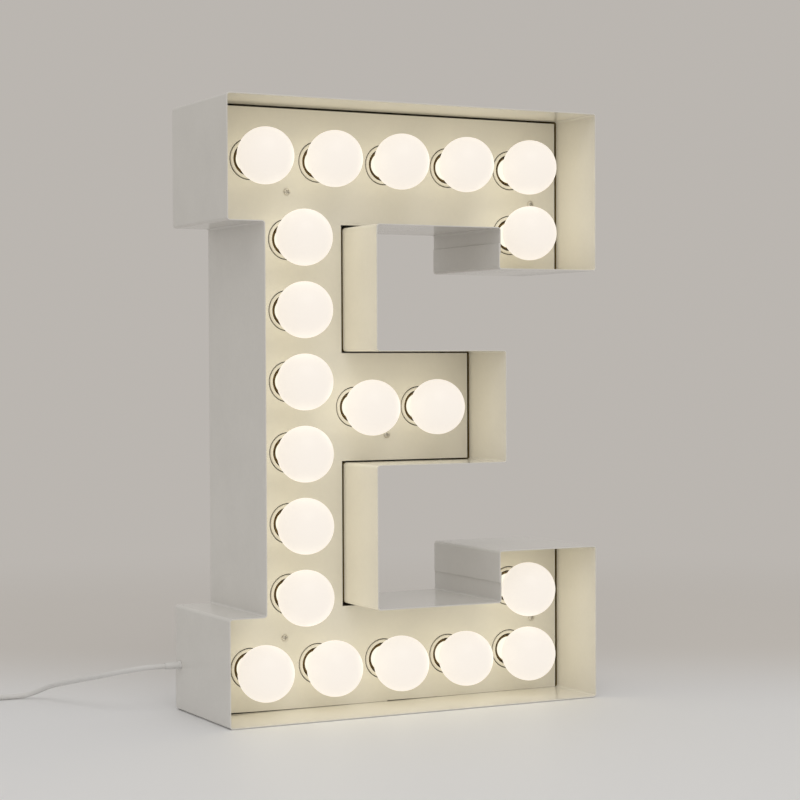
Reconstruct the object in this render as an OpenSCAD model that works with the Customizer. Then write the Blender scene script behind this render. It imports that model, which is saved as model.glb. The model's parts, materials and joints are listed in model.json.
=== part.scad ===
// Light-up letter: a slab-serif E of painted sheet metal, with globe bulbs
// screwed into lampholders on a recessed face panel.
// Origin on the floor under the middle of the letter. The front faces -Y and +Z is up.

/* [Letter] */
// Height of the letter
letter_h = 650; // [610:1:720]
// Width of the letter
letter_w = 443; // [420:1:500]
// Depth of the letter, front edge to back edge
letter_d = 151; // [136:1:180]
// Height of the top arm
top_arm_h = 130; // [115:1:140]
// Height of the bottom arm
bottom_arm_h = 113.5; // [105:0.5:120]
// Height of the middle arm
mid_arm_h = 123; // [105:1:135]
// Height of the middle arm's centre line
mid_arm_z = 326.5; // [310:0.5:340]
// Distance from the left side to the stem
stem_x = 41; // [30:1:48]
// Width of the stem
stem_w = 130; // [118:1:140]
// Length of the middle arm, from the stem
mid_arm_len = 157; // [150:1:190]
// Width of the right serifs
serif_w = 123.5; // [116:0.5:130]
// How far the top right serif hangs below its arm
top_serif_drop = 44.5; // [38:0.5:60]
// How far the bottom right serif stands above its arm
bottom_serif_rise = 56; // [45:0.5:70]

/* [Sheet metal] */
// Thickness of the sheet
sheet_t = 1.2; // [0.8:0.1:1.6]
// Bend radius at the middle of the sheet
bend_r = 3; // [2:0.5:4]
// Depth of the room for the lampholders, from the face panel's front to the back edge
panel_room = 70; // [62:1:76]
// Gap between the face panel and the walls
reveal = 2.8; // [1.5:0.1:4]
// Gap between the face panel and the bottom wall
bottom_reveal = 2.6; // [1.5:0.1:4]
// Length of the inner strip's tab that shows on the top serif
top_lap = 16; // [10:1:20]
// Length of the inner strip's tab that shows on the bottom serif
bottom_lap = 21; // [12:1:24]
// Length of each tab that the outer strip covers
lap_cover = 12; // [8:1:14]

/* [Rows of bulbs] */
// Distance from the left side to the first bulb of the top row
row_start = 59; // [55:1:64]
// Distance from the last bulb of the top row to the right side
row_end = 64; // [56:1:66]
// How far the bottom row sits left of the top row
bottom_row_shift = 2.5; // [0:0.5:4]
// Height of the bottom row
bottom_row_z = 49; // [44:1:54]
// Distance from the top row to the top of the letter
top_row_drop = 59; // [50:1:66]
// How far the stem's bulbs and screws sit left of the stem's middle
stem_bulb_shift = 3; // [0:0.5:4]
// Height of the lowest stem bulb above the bottom row
stem_above_row = 77; // [72:1:84]
// Distance of the highest stem bulb below the top row
stem_below_row = 84; // [76:1:90]
// Distance of the top serif's bulb below the top row
serif_below_row = 73; // [66:1:80]
// Height of the bottom serif's bulb above the bottom row
serif_above_row = 72; // [66:1:78]
// Distance between the two bulbs of the middle arm
mid_bulb_pitch = 79; // [72:1:84]
// Distance from the last bulb of the middle arm to its end
mid_bulb_end = 66.5; // [50:0.5:70]

/* [Bulb] */
// Diameter of the globe
bulb_d = 60; // [50:1:64]
// Diameter of the glass neck
neck_d = 27.6; // [27:0.1:29]
// Distance from the face panel to the middle of the globe
bulb_out = 44.5; // [42:0.5:50]
// Radius of the hollow between globe and neck
neck_fillet = 12; // [8:1:14]
// Thickness of the glass
glass_t = 1.2; // [0.8:0.1:1.6]
// Crest diameter of the screw cap
cap_d = 26.2; // [25.8:0.1:26.4]
// Depth of the cap's thread
thread_depth = 1; // [0.6:0.1:1.2]
// Pitch of the cap's thread
thread_pitch = 3.63; // [3.2:0.01:4]
// Turns of thread on the cap
thread_turns = 5; // [4:1:5]
// Wall of the cap
cap_wall = 0.7; // [0.4:0.1:1]
// Length of the cap's collar
cap_collar = 2.4; // [1.5:0.1:3]
// Thickness of the cap's insulator
insulator_h = 3.6; // [3:0.1:4.5]
// Diameter of the cap's tip
tip_d = 9.5; // [8:0.5:11]
// Height of the cap's tip
tip_h = 1.5; // [1:0.1:2]
// Line of cement between glass and cap
cement_gap = 0.3; // [0.2:0.1:0.4]

/* [Lampholder] */
// Outside diameter of the skirt
holder_d = 42; // [40:0.5:44]
// Bore of the skirt
holder_bore = 35.4; // [34:0.2:36.4]
// How far the rim stands in front of the face panel
rim_proud = 1; // [0.5:0.1:2]
// Gap between the rim and the hole in the face panel
hole_gap = 0.7; // [0.5:0.1:1.2]
// Thickness of the floor that the contacts stand on
floor_t = 6; // [4:0.5:7]
// Width of the square terminal block at the back
rear_block = 22; // [18:1:24]
// Length of that block behind the floor
rear_len = 10; // [8:1:10]
// Outside diameter of the retaining collar
collar_d = 52; // [48:1:56]
// Thickness of the retaining collar
collar_t = 4; // [3:0.5:5]
// Gap between the collar and the skirt
collar_gap = 0.1; // [0.05:0.05:0.2]
// Step of the skirt behind the collar
collar_step = 1.5; // [1:0.1:2]
// Gap between the cap's crests and the screw shell
shell_gap = 0.4; // [0.35:0.05:0.5]
// Wall of the screw shell
shell_t = 0.7; // [0.5:0.1:0.9]
// Height of the sprung centre contact
contact_h = 2.6; // [2:0.1:3]
// Width of the centre contact
contact_w = 6; // [4:0.5:7]
// Thickness of the contact strip
contact_t = 0.6; // [0.4:0.1:0.8]
// Gap between the bulb's tip and the contact
tip_gap = 0.3; // [0.2:0.1:0.5]

/* [Face screws] */
// Diameter of the screw's shank
screw_d = 4; // [3:0.5:4.5]
// Length of the screw's shank
screw_len = 12; // [10:1:16]
// Diameter of the screw's head
screw_head_d = 7.4; // [6.5:0.1:8.5]
// Height of the screw's head
screw_head_h = 2.4; // [2:0.1:3]
// Running gap round the shank
screw_gap = 0.05; // [0.03:0.01:0.1]
// Gap between the shank and its hole in the face panel
screw_hole_gap = 0.25; // [0.2:0.05:0.5]
// Diameter of the standoffs
standoff_d = 10; // [8:1:12]
// Distance of the top left screw below the top row
top_screw_drop = 33; // [31:1:38]
// Distance of the top right screw below the top row
top_right_drop = 37; // [34:1:40]
// Distance of the middle screw below the middle arm's centre line
mid_screw_drop = 31; // [30:1:36]
// Height of the bottom left screw above the bottom row
bottom_screw_rise = 30; // [28:1:34]
// Height of the bottom right screw above the bottom row
bottom_right_rise = 34; // [32:1:38]
// Distance from the right side to its screws
screw_edge = 36.5; // [32:0.5:38]
// How far the bottom left screw sits left of the stem's bulbs
screw_shift = 5; // [2:1:6]

/* [Cord] */
// Diameter of the cord
cord_d = 5.5; // [5:0.1:5.8]
// Height of the cord's exit
gland_z = 49.5; // [46:0.5:54]
// Distance of the cord's exit from the back edge
gland_inset = 14; // [12:0.5:16]
// Length of the bush outside the wall
gland_len = 18; // [14:1:22]
// Diameter of the bush at the wall
gland_d = 9; // [8.6:0.1:11]
// Diameter of the bush at its tip
gland_tip_d = 7; // [6.8:0.1:8]
// Diameter of the bush in the wall
gland_neck_d = 7.6; // [7.2:0.1:8]
// Thickness of the bush's flanges
gland_flange = 1.5; // [1:0.1:2]
// Gap round the cord in the bush, and round the bush in the wall
gland_gap = 0.1; // [0.05:0.05:0.15]
// Diameter of the cables behind the lampholders
cable_d = 5; // [4:0.5:6]
// Width of the terminal block
terminal_w = 18; // [14:1:20]
// Height of the terminal block
terminal_h = 22; // [20:1:26]
// Distance from the left side to the terminal block
terminal_x = 20; // [16:1:22]
// How far the stem's cable runs right of the stem's bulbs, past the standoffs
cable_shift = 8.5; // [8:0.5:9]

/* [Coil] */
// Diameter of the coil at the middle of its turns
coil_d = 62; // [58:1:66]
// Turns in the coil
coil_turns = 7.25; // [5.25:1:9.25]
// Distance between turns and between layers
coil_pitch = 6.9; // [6.8:0.1:7.2]
// Width of the tie
tie_w = 6; // [4:0.5:8]
// Thickness of the tie
tie_t = 0.8; // [0.6:0.1:1.2]
// Gap between the tie and the coil
tie_gap = 0.4; // [0.3:0.1:0.6]

/* [Switch] */
// Length of the switch
switch_len = 58; // [54:1:64]
// Width of the switch
switch_w = 27; // [24:1:30]
// Height of the switch
switch_h = 20; // [18:1:22]
// Corner radius of the switch
switch_r = 8; // [5:0.5:9]
// Wall of the switch
switch_wall = 2; // [1.6:0.1:2.4]
// Length of the rocker
rocker_len = 19; // [16:0.5:22]
// Width of the rocker
rocker_w = 9.4; // [8:0.2:10.4]
// Tilt of the rocker either way
rocker_tilt = 8; // [6:1:9]
// Diameter of the rocker's pivot pins
pivot_d = 2.8; // [2.4:0.1:3]
// Running gap round the pivot pins
pivot_gap = 0.05; // [0.03:0.01:0.08]
// Gap between the rocker and its window
rocker_gap = 0.6; // [0.5:0.1:0.8]

/* [Plug] */
// Diameter of the plug's face
plug_d = 37; // [35:0.5:40]
// Length of the plug's body
plug_len = 46; // [42:1:50]
// Length of the plug's face disc
plug_disc = 10; // [8:0.5:12]
// Diameter of the plug's grip
plug_grip_d = 29; // [26:0.5:31]
// Length of the plug's grip
plug_grip = 16; // [13:0.5:18]
// Diameter of the plug's tail at the cord
plug_tail_d = 9.2; // [8:0.2:11]
// Diameter of the pins
pin_d = 4.8; // [4:0.1:4.8]
// Length of the pins
pin_len = 19; // [17:0.5:19]
// Distance between the pins
pin_pitch = 19; // [18:0.5:20]
// Depth of the recess for each earth clip
earth_recess = 2.5; // [2:0.1:3]
// Width of the earth clips
earth_w = 6; // [4:0.5:7]
// Length of the earth clips
earth_len = 9; // [7:0.5:10]
// Thickness of the earth clips
earth_t = 0.8; // [0.5:0.1:1]

/* [Hidden] */
$fn = 64;
bend_steps = 5;
arc_steps = 12;

// Lines of the letter's outline, from its bottom left corner
stem_r = stem_x + stem_w;
bulb_line = stem_x + stem_w / 2 - stem_bulb_shift;
mid_x = stem_r + mid_arm_len;
mid_low = mid_arm_z - mid_arm_h / 2;
mid_top = mid_arm_z + mid_arm_h / 2;
serif_x = letter_w - serif_w;
top_low = letter_h - top_arm_h;
top_serif_low = top_low - top_serif_drop;
bottom_serif_top = bottom_arm_h + bottom_serif_rise;
top_seam = top_low - top_lap;
bottom_seam = bottom_arm_h + bottom_lap;

// Planes along the depth, from the front edge
face_recess = letter_d - panel_room;
face_back = face_recess + sheet_t;
back_front = letter_d - sheet_t;

// Bulb places, [x, z] from the bottom left corner, from the top row down
top_row_z = letter_h - top_row_drop;
row_count = 5;
row_pitch = (letter_w - row_start - row_end) / (row_count - 1);
row_xs = [for (k = [0:row_count - 1]) row_start + k * row_pitch];
last_x = letter_w - row_end;
bottom_last_x = last_x - bottom_row_shift;
stem_count = 6;
stem_first = bottom_row_z + stem_above_row;
stem_pitch = (top_row_z - stem_below_row - stem_first) / (stem_count - 1);
stem_zs = [for (k = [stem_count - 1:-1:0]) stem_first + k * stem_pitch];
mid_xs = [mid_x - mid_bulb_end - mid_bulb_pitch, mid_x - mid_bulb_end];
bulbs = concat(
    [for (x = row_xs) [x, top_row_z]],
    [[last_x, top_row_z - serif_below_row]],
    [for (z = stem_zs) [bulb_line, z]],
    [for (x = mid_xs) [x, mid_arm_z]],
    [[bottom_last_x, bottom_row_z + serif_above_row]],
    [for (x = row_xs) [x - bottom_row_shift, bottom_row_z]]
);

// Face screw places
screws = [
    [bulb_line, top_row_z - top_screw_drop],
    [letter_w - screw_edge, top_row_z - top_right_drop],
    [(mid_xs[0] + mid_xs[1]) / 2, mid_arm_z - mid_screw_drop],
    [bulb_line - screw_shift, bottom_row_z + bottom_screw_rise],
    [letter_w - screw_edge, bottom_row_z + bottom_right_rise]
];

// Depths along a bulb's axis, from the front of the face panel to the back
neck_end = 2;
cap_start = neck_end + cement_gap;
thread_start = cap_start + cap_collar;
thread_end = thread_start + thread_turns * thread_pitch;
cap_end = thread_end + insulator_h;
tip_end = cap_end + tip_h;
holder_floor = tip_end + tip_gap + contact_h;
rear_end = holder_floor + floor_t + rear_len;
cable_y = face_recess + rear_end + cable_d / 2;
trunk_x = bulb_line + cable_shift;

// Globe profile: the fillet between globe and neck touches both circles
bulb_r = bulb_d / 2;
neck_r = neck_d / 2;
fillet_x = neck_r + neck_fillet;
fillet_run = sqrt(pow(bulb_r + neck_fillet, 2) - pow(fillet_x, 2));
fillet_angle = atan2(fillet_x, fillet_run);

// Screw shell and skirt
cap_r = cap_d / 2;
shell_r = cap_r + shell_gap;
holder_r = holder_d / 2;
terminal_front = cable_y - 6;

// Cord route in round sizes: x out from the wall, y back from the exit, z above the floor
cord_r = cord_d / 2;
cord_sides = 10;
cord_route = [
    [0, 0, gland_z],
    [-gland_len / 2, 0, gland_z],
    [-gland_len, 0, gland_z],
    [-29, 0, gland_z],
    [-38, 3, 49],
    [-47, 10, 47],
    [-56, 21.5, 44],
    [-65, 37, 40],
    [-74, 56, 35],
    [-82, 76, 30.5],
    [-90, 97, 25.5],
    [-97, 118, 20.5],
    [-103, 136, 15.5],
    [-110, 150, 9.5],
    [-119, 159.5, 4.8],
    [-130, 164, 2.8],
    [-141, 165, 2.8],
    [-150, 165, 3],
    [-158, 165, 4.5],
    [-166, 165, 7.5],
    [-173, 165, 9.6],
    [-178, 165, 10],
    [-184, 165, 10]
];
route_end = cord_route[len(cord_route) - 1];

// Switch, coil and plug follow each other from the end of the route
switch_out = route_end.x - switch_len;
switch_floor = route_end.z - switch_h / 2;
pivot_drop = 4;
pivot_z = route_end.z + switch_h / 2 - pivot_drop;
switch_mid = route_end.x - switch_len / 2;
coil_layers = 4;
climb = 0.5;
layer_turns = (coil_turns - (coil_layers - 1) * climb) / coil_layers;
coil_rise = layer_turns * coil_pitch;
coil_out = coil_d / 2 + coil_rise / 2;
coil_in = coil_d / 2 - coil_rise / 2;
coil_low = cord_r + tie_t + tie_gap;
coil_top = coil_low + (coil_layers - 1) * coil_pitch;
lead_run = 36;
tail_run = 40;
run_steps = 6;
loop_rings = 24;
coil_sides = 6;
coil_x = switch_out - cord_d - lead_run;
coil_y = route_end.y - coil_out;
plug_r = plug_d / 2;
plug_x = coil_x - coil_out;
plug_y = coil_y - tail_run - cord_d;

function bulb_name(k, piece) = str("bulb_", k < 9 ? "0" : "", k + 1, "_", piece);

function unit(v) = v / norm(v);
function reversed(p) = [for (k = [len(p) - 1:-1:0]) p[k]];
function smooth(f) = f * f * (3 - 2 * f);

// Arc round the corner b of a sheet's line that lies i inside the letter's outer face
function bend(a, b, c, i) =
    let (
        d1 = unit(b - a),
        d2 = unit(c - b),
        sharp = 0.5,
        r = cross(d1, d2) > 0 ? max(bend_r + sheet_t / 2 - i, sharp) : bend_r - sheet_t / 2 + i
    )
    [
        for (k = [0:bend_steps])
        let (f = 90 * k / bend_steps)
        b + r * (d2 - d1 + d1 * sin(f) - d2 * cos(f))
    ];
function rounded_path(p, i) = concat(
    [p[0]],
    [for (k = [1:len(p) - 2]) each bend(p[k - 1], p[k], p[k + 1], i)],
    [p[len(p) - 1]]
);
function rounded_loop(p, i) = [
    for (k = [0:len(p) - 1])
    each bend(p[(k + len(p) - 1) % len(p)], p[k], p[(k + 1) % len(p)], i)
];

// Outer strip's corners, i inside its outer face. Its ends lap over the inner strip's tabs
function outer_path(i) = [
    [serif_x - sheet_t + i, top_seam],
    [serif_x - sheet_t + i, top_serif_low + i],
    [letter_w - i, top_serif_low + i],
    [letter_w - i, letter_h - i],
    [i, letter_h - i],
    [i, top_low + i],
    [stem_x + i, top_low + i],
    [stem_x + i, bottom_arm_h - i],
    [i, bottom_arm_h - i],
    [i, i],
    [letter_w - i, i],
    [letter_w - i, bottom_serif_top - i],
    [serif_x - sheet_t + i, bottom_serif_top - i],
    [serif_x - sheet_t + i, bottom_seam]
];

// Inner strip's corners, i inside its outer face, with a tab at each end
function inner_path(i) = [
    [serif_x + i, bottom_seam + lap_cover],
    [serif_x + i, bottom_arm_h - i],
    [stem_r - i, bottom_arm_h - i],
    [stem_r - i, mid_low + i],
    [mid_x - i, mid_low + i],
    [mid_x - i, mid_top - i],
    [stem_r - i, mid_top - i],
    [stem_r - i, top_low + i],
    [serif_x + i, top_low + i],
    [serif_x + i, top_seam - lap_cover]
];

// The whole letter's corners, i inside its outer face
function letter_loop(i) = concat(
    [for (k = [2:11]) outer_path(i)[k]],
    [[serif_x + i, bottom_serif_top - i]],
    [for (k = [1:8]) inner_path(i)[k]],
    [[serif_x + i, top_serif_low + i]]
);

// Points of a tube of n sides swept along a path that is never upright
function ring_points(path, r, n) = [
    for (k = [0:len(path) - 1])
    let (
        along = unit(path[min(k + 1, len(path) - 1)] - path[max(k - 1, 0)]),
        side = unit(cross(along, [0, 0, 1])),
        up = cross(side, along)
    )
    for (a = [0:n - 1])
    path[k] + r * (cos(360 * a / n) * side + sin(360 * a / n) * up)
];
function ring_faces(m, n) = concat(
    [for (a = [1:n - 2]) [0, a, a + 1]],
    [
        for (k = [0:m - 2])
        for (a = [0:n - 1])
        let (b = (a + 1) % n)
        each [
            [k * n + a, k * n + n + a, k * n + n + b],
            [k * n + a, k * n + n + b, k * n + b]
        ]
    ],
    [for (a = [1:n - 2]) [(m - 1) * n, (m - 1) * n + a + 1, (m - 1) * n + a]]
);

// Coil: four layers that spiral in and out, climbing a layer in the half turn between
function coil_point(t) =
    let (
        span = layer_turns + climb,
        layer = min(floor(t / span), coil_layers - 1),
        turned = t - layer * span,
        share = min(turned, layer_turns) / layer_turns,
        inward = layer % 2 == 0 ? share : 1 - share,
        r = coil_out - inward * coil_rise,
        level = layer + max(turned - layer_turns, 0) / climb,
        angle = 90 + 360 * t
    )
    [coil_x + r * cos(angle), coil_y + r * sin(angle), coil_low + level * coil_pitch];
coil_rings = coil_turns * loop_rings;
lead_in = [
    for (k = [0:run_steps - 1])
    [
        coil_x + lead_run * (1 - k / run_steps),
        coil_y + coil_out,
        route_end.z + (coil_low - route_end.z) * smooth(k / run_steps)
    ]
];
tail = [
    for (k = [1:run_steps])
    [
        plug_x,
        coil_y - tail_run * k / run_steps,
        coil_top + (plug_r - coil_top) * smooth(k / run_steps)
    ]
];
coil_path = concat(
    [[switch_out, route_end.y, route_end.z]],
    lead_in,
    [for (k = [0:coil_rings]) coil_point(k / loop_rings)],
    tail,
    [[plug_x, plug_y, plug_r]]
);

// Least gap between lengths of the coil that lie half a turn or more apart
function coil_gap() = min([
    for (a = [0:len(coil_path) - 1])
    for (b = [a + loop_rings / 2:len(coil_path) - 1])
    norm(coil_path[a] - coil_path[b])
]) - cord_d;

// Corners of a rectangle with rounded ends to its corners
function round_rect(w, h, r) = [
    for (k = [0:3])
    let (s = [[1, 1], [-1, 1], [-1, -1], [1, -1]][k])
    for (j = [0:arc_steps / 2])
    let (a = 90 * (k + 2 * j / arc_steps))
    [s.x * (w / 2 - r) + r * cos(a), s.y * (h / 2 - r) + r * sin(a)]
];

// Globe and neck in half section, i inside the glass, from the front pole to the cap
function globe_section(i) = concat(
    [
        for (k = [0:2 * arc_steps])
        let (a = (180 - fillet_angle) * k / (2 * arc_steps))
        [(bulb_r - i) * sin(a), -bulb_out - (bulb_r - i) * cos(a)]
    ],
    [
        for (k = [1:arc_steps / 2])
        let (a = fillet_angle + (90 - fillet_angle) * 2 * k / arc_steps)
        [
            fillet_x - (neck_fillet + i) * sin(a),
            fillet_run - bulb_out - (neck_fillet + i) * cos(a)
        ]
    ],
    [[neck_r - i, neck_end]]
);

// Wave of the cap's thread, as rings of the thread's own pitch
wave_steps = 6;
thread_wave = [
    for (k = [0:thread_turns * wave_steps])
    [
        cap_r - thread_depth / 2 - thread_depth / 2 * cos(360 * k / wave_steps),
        thread_start + k * thread_pitch / wave_steps
    ]
];

module in_frame() {
    translate([-letter_w / 2, -letter_d / 2, 0]) children();
}

// A flat shape in x and z, given depth from y0 back to y1
module upright(y0, y1) {
    translate([0, y1, 0]) rotate([90, 0, 0]) linear_extrude(y1 - y0) children();
}

// Local z runs from the face panel to the back, on the axis at p
module on_face(p) {
    translate([p.x, face_recess, p.y]) rotate([-90, 0, 0]) children();
}

module at_bulbs() {
    in_frame() for (p = bulbs) on_face(p) children();
}

// The cord's frame starts at the wall, on the exit's axis, at floor height
module at_exit() {
    in_frame() translate([0, letter_d - gland_inset, 0]) children();
}

// Local z runs along -X
module along_left() {
    rotate([0, -90, 0]) children();
}

module tube(path, r, n) {
    polyhedron(ring_points(path, r, n), ring_faces(len(path), n));
}

module outer_return() {
    color("gainsboro") in_frame() difference() {
        upright(0, back_front) polygon(concat(
            rounded_path(outer_path(0), 0),
            reversed(rounded_path(outer_path(sheet_t), sheet_t))
        ));
        translate([2 * sheet_t, letter_d - gland_inset, gland_z])
            along_left() cylinder(d = gland_neck_d + 2 * gland_gap, h = 4 * sheet_t);
    }
}

module inner_return() {
    color("gainsboro") in_frame() upright(0, back_front) polygon(concat(
        rounded_path(inner_path(0), 0),
        reversed(rounded_path(inner_path(sheet_t), sheet_t))
    ));
}

// Lies on the back edges of both strips
module back_panel() {
    color("gainsboro") in_frame() upright(back_front, letter_d)
        polygon(rounded_loop(letter_loop(0), 0));
}

// Square-cornered plate that stands close to the bottom wall
module face_panel() {
    inset = sheet_t + reveal;
    outline = [for (p = letter_loop(inset)) [p.x, p.y == inset ? sheet_t + bottom_reveal : p.y]];
    color("antiquewhite") in_frame() difference() {
        upright(face_recess, face_back) polygon(outline);
        for (p = bulbs) on_face(p)
            translate([0, 0, -sheet_t]) cylinder(d = holder_d + 2 * hole_gap, h = 3 * sheet_t);
        for (p = screws) on_face(p)
            translate([0, 0, -sheet_t]) cylinder(d = screw_d + 2 * screw_hole_gap, h = 3 * sheet_t);
    }
}

module panel_standoffs() {
    post = back_front - face_back;
    spare = 2;
    color("silver") in_frame() for (p = screws) on_face(p) translate([0, 0, sheet_t]) difference() {
        cylinder(d = standoff_d, h = post);
        translate([0, 0, -spare])
            cylinder(d = screw_d + 2 * screw_gap, h = screw_len + 2 * spare);
    }
}

module face_screws() {
    dome = 0.6;
    slot_w = 1;
    slot_l = 4.4;
    slot_h = 1.2;
    color("silver") in_frame() for (p = screws) on_face(p) difference() {
        rotate_extrude() polygon([
            [0, -screw_head_h],
            [screw_head_d / 2 - 2 * dome, -screw_head_h],
            [screw_head_d / 2 - dome / 2, -screw_head_h + dome],
            [screw_head_d / 2, -screw_head_h + 2 * dome],
            [screw_head_d / 2, 0],
            [screw_d / 2, 0],
            [screw_d / 2, screw_len],
            [0, screw_len]
        ]);
        for (a = [45, 135]) rotate([0, 0, a])
            translate([-slot_l / 2, -slot_w / 2, -2 * screw_head_h])
            cube([slot_l, slot_w, screw_head_h + slot_h]);
    }
}

module holder_bodies() {
    edge = 0.6;
    shoulder = 3;
    neck = rear_block / 2 * sqrt(2);
    color("ivory") at_bulbs() union() {
        rotate_extrude() polygon([
            [0, holder_floor],
            [holder_bore / 2, holder_floor],
            [holder_bore / 2, edge - rim_proud],
            [holder_bore / 2 + edge, -rim_proud],
            [holder_r - edge, -rim_proud],
            [holder_r, edge - rim_proud],
            [holder_r, sheet_t + collar_t],
            [holder_r + collar_step, sheet_t + collar_t],
            [holder_r + collar_step, holder_floor - shoulder],
            [neck, holder_floor + floor_t],
            [0, holder_floor + floor_t]
        ]);
        translate([-rear_block / 2, -rear_block / 2, holder_floor + floor_t / 2])
            cube([rear_block, rear_block, rear_len + floor_t / 2]);
    }
}

module holder_collars() {
    color("ivory") at_bulbs() translate([0, 0, sheet_t]) difference() {
        cylinder(d = collar_d, h = collar_t);
        translate([0, 0, -collar_t]) cylinder(d = holder_d + 2 * collar_gap, h = 3 * collar_t);
    }
}

module holder_shells() {
    mouth = thread_start + 1;
    base_hole = 8;
    color("goldenrod") at_bulbs() rotate_extrude() polygon([
        [shell_r, mouth],
        [shell_r + shell_t, mouth],
        [shell_r + shell_t, holder_floor],
        [base_hole, holder_floor],
        [base_hole, holder_floor - shell_t],
        [shell_r, holder_floor - shell_t]
    ]);
}

module holder_contacts() {
    half = 7;
    foot = 3.3;
    crown = 1.8;
    color("goldenrod") at_bulbs() translate([0, contact_w / 2, holder_floor]) rotate([90, 0, 0])
        linear_extrude(contact_w) polygon([
            [-half, 0],
            [-half, -contact_t],
            [-foot, -contact_t],
            [-crown, -contact_h],
            [crown, -contact_h],
            [foot, -contact_t],
            [half, -contact_t],
            [half, 0],
            [foot - contact_t / 2, 0],
            [crown - contact_t / 2, contact_t - contact_h],
            [contact_t / 2 - crown, contact_t - contact_h],
            [contact_t / 2 - foot, 0]
        ]);
}

// Screw cap of one bulb: threaded shell, insulator and tip
module bulb_cap(k) {
    collar_r = cap_r + 0.7;
    inner_r = cap_r - thread_depth - cap_wall;
    color("silver") in_frame() on_face(bulbs[k]) {
        rotate_extrude() polygon(concat(
            [[inner_r, cap_start], [collar_r, cap_start], [collar_r, cap_start + cap_collar / 2]],
            thread_wave,
            [[inner_r, thread_end]]
        ));
        rotate_extrude() polygon([
            [0, thread_end],
            [cap_r - thread_depth, thread_end],
            [tip_d / 2 + 1, cap_end],
            [0, cap_end]
        ]);
        rotate_extrude() polygon([
            [0, cap_end],
            [tip_d / 2, cap_end],
            [tip_d / 2 - tip_h / 2, tip_end - tip_h / 4],
            [tip_d / 4, tip_end],
            [0, tip_end]
        ]);
    }
}

// Opal glass of one bulb: globe and neck as one shell, open at the cap
module bulb_globe(k) {
    color("white") in_frame() on_face(bulbs[k]) rotate_extrude() polygon(concat(
        globe_section(0),
        reversed(globe_section(glass_t))
    ));
}

// Twin cables along the backs of the lampholders, and the cord's tail to the terminals
module wiring_loom() {
    cable_r = cable_d / 2;
    feed_x = terminal_x + terminal_w;
    color("white") in_frame() {
        for (row = [[row_start, last_x, top_row_z], [feed_x, bottom_last_x, bottom_row_z]])
            translate([row[0], cable_y, row[2]]) rotate([0, 90, 0])
            cylinder(r = cable_r, h = row[1] - row[0]);
        translate([trunk_x, cable_y, bottom_row_z])
            cylinder(r = cable_r, h = top_row_z - bottom_row_z);
        translate([trunk_x, cable_y, mid_arm_z]) rotate([0, 90, 0])
            cylinder(r = cable_r, h = mid_xs[1] - trunk_x);
        translate([last_x, cable_y, top_row_z - serif_below_row])
            cylinder(r = cable_r, h = serif_below_row);
        translate([bottom_last_x, cable_y, bottom_row_z])
            cylinder(r = cable_r, h = serif_above_row);
    }
    color("white") at_exit() translate([terminal_x, 0, gland_z])
        along_left() cylinder(r = cord_r, h = terminal_x);
}

module terminal_block() {
    screw_r = 1.6;
    ways = 3;
    way_pitch = 6;
    hole = 8;
    color("beige") in_frame() difference() {
        translate([terminal_x, terminal_front, gland_z - terminal_h / 2])
            cube([terminal_w, back_front - terminal_front, terminal_h]);
        for (k = [0:ways - 1])
            translate([terminal_x + terminal_w / 2, terminal_front, gland_z + (k - 1) * way_pitch])
            rotate([90, 0, 0]) cylinder(r = screw_r, h = hole, center = true);
    }
}

// Moulded bush: flange, neck in the wall and a tapered sleeve round the cord
module cord_gland() {
    snap = 2.5;
    color("whitesmoke") at_exit() translate([0, 0, gland_z]) along_left() difference() {
        rotate_extrude() polygon([
            [0, -sheet_t - snap],
            [gland_neck_d / 2, -sheet_t - snap],
            [gland_d / 2 + 1, -sheet_t],
            [gland_neck_d / 2, -sheet_t],
            [gland_neck_d / 2, 0],
            [gland_d / 2, 0],
            [gland_d / 2, gland_flange],
            [gland_d / 2 - 0.6, gland_flange],
            [gland_tip_d / 2, gland_len],
            [0, gland_len]
        ]);
        translate([0, 0, -gland_len]) cylinder(r = cord_r + gland_gap, h = 3 * gland_len);
    }
}

module cord() {
    color("whitesmoke") at_exit() tube(cord_route, cord_r, cord_sides);
}

// Half shells of the in-line switch, with a seam between them and lugs for the rocker's pins
module switch_case() {
    seam = 0.4;
    lug = 2;
    lug_gap = 0.5;
    lug_w = 6;
    window_l = rocker_len + 4 * rocker_gap;
    window_w = rocker_w + rocker_gap;
    color("whitesmoke") at_exit() translate([switch_mid, route_end.y, switch_floor]) {
        difference() {
            linear_extrude(switch_h / 2) polygon(round_rect(switch_len, switch_w, switch_r));
            translate([0, 0, switch_wall]) linear_extrude(switch_h) switch_hollow(switch_wall);
            translate([0, 0, switch_h / 2 - seam]) linear_extrude(switch_h) difference() {
                switch_hollow(-switch_wall);
                switch_hollow(seam);
            }
        }
        difference() {
            union() {
                difference() {
                    translate([0, 0, switch_h / 2]) linear_extrude(switch_h / 2)
                        polygon(round_rect(switch_len, switch_w, switch_r));
                    linear_extrude(switch_h - switch_wall) switch_hollow(switch_wall);
                }
                for (s = [-1, 1])
                    translate([-lug_w / 2, s * (rocker_w / 2 + lug_gap + lug / 2) - lug / 2,
                        switch_h - pivot_drop - pivot_d])
                    cube([lug_w, lug, pivot_drop + pivot_d - switch_wall / 2]);
            }
            translate([-window_l / 2, -window_w / 2, switch_h / 2]) cube([window_l, window_w, switch_h]);
            translate([0, 0, switch_h - pivot_drop]) rotate([90, 0, 0])
                cylinder(d = pivot_d + 2 * pivot_gap, h = switch_w - 3 * switch_wall, center = true);
        }
    }
}

// The switch's outline, i inside its outer face
module switch_hollow(i) {
    polygon(round_rect(switch_len - 2 * i, switch_w - 2 * i, switch_r - i));
}

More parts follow.
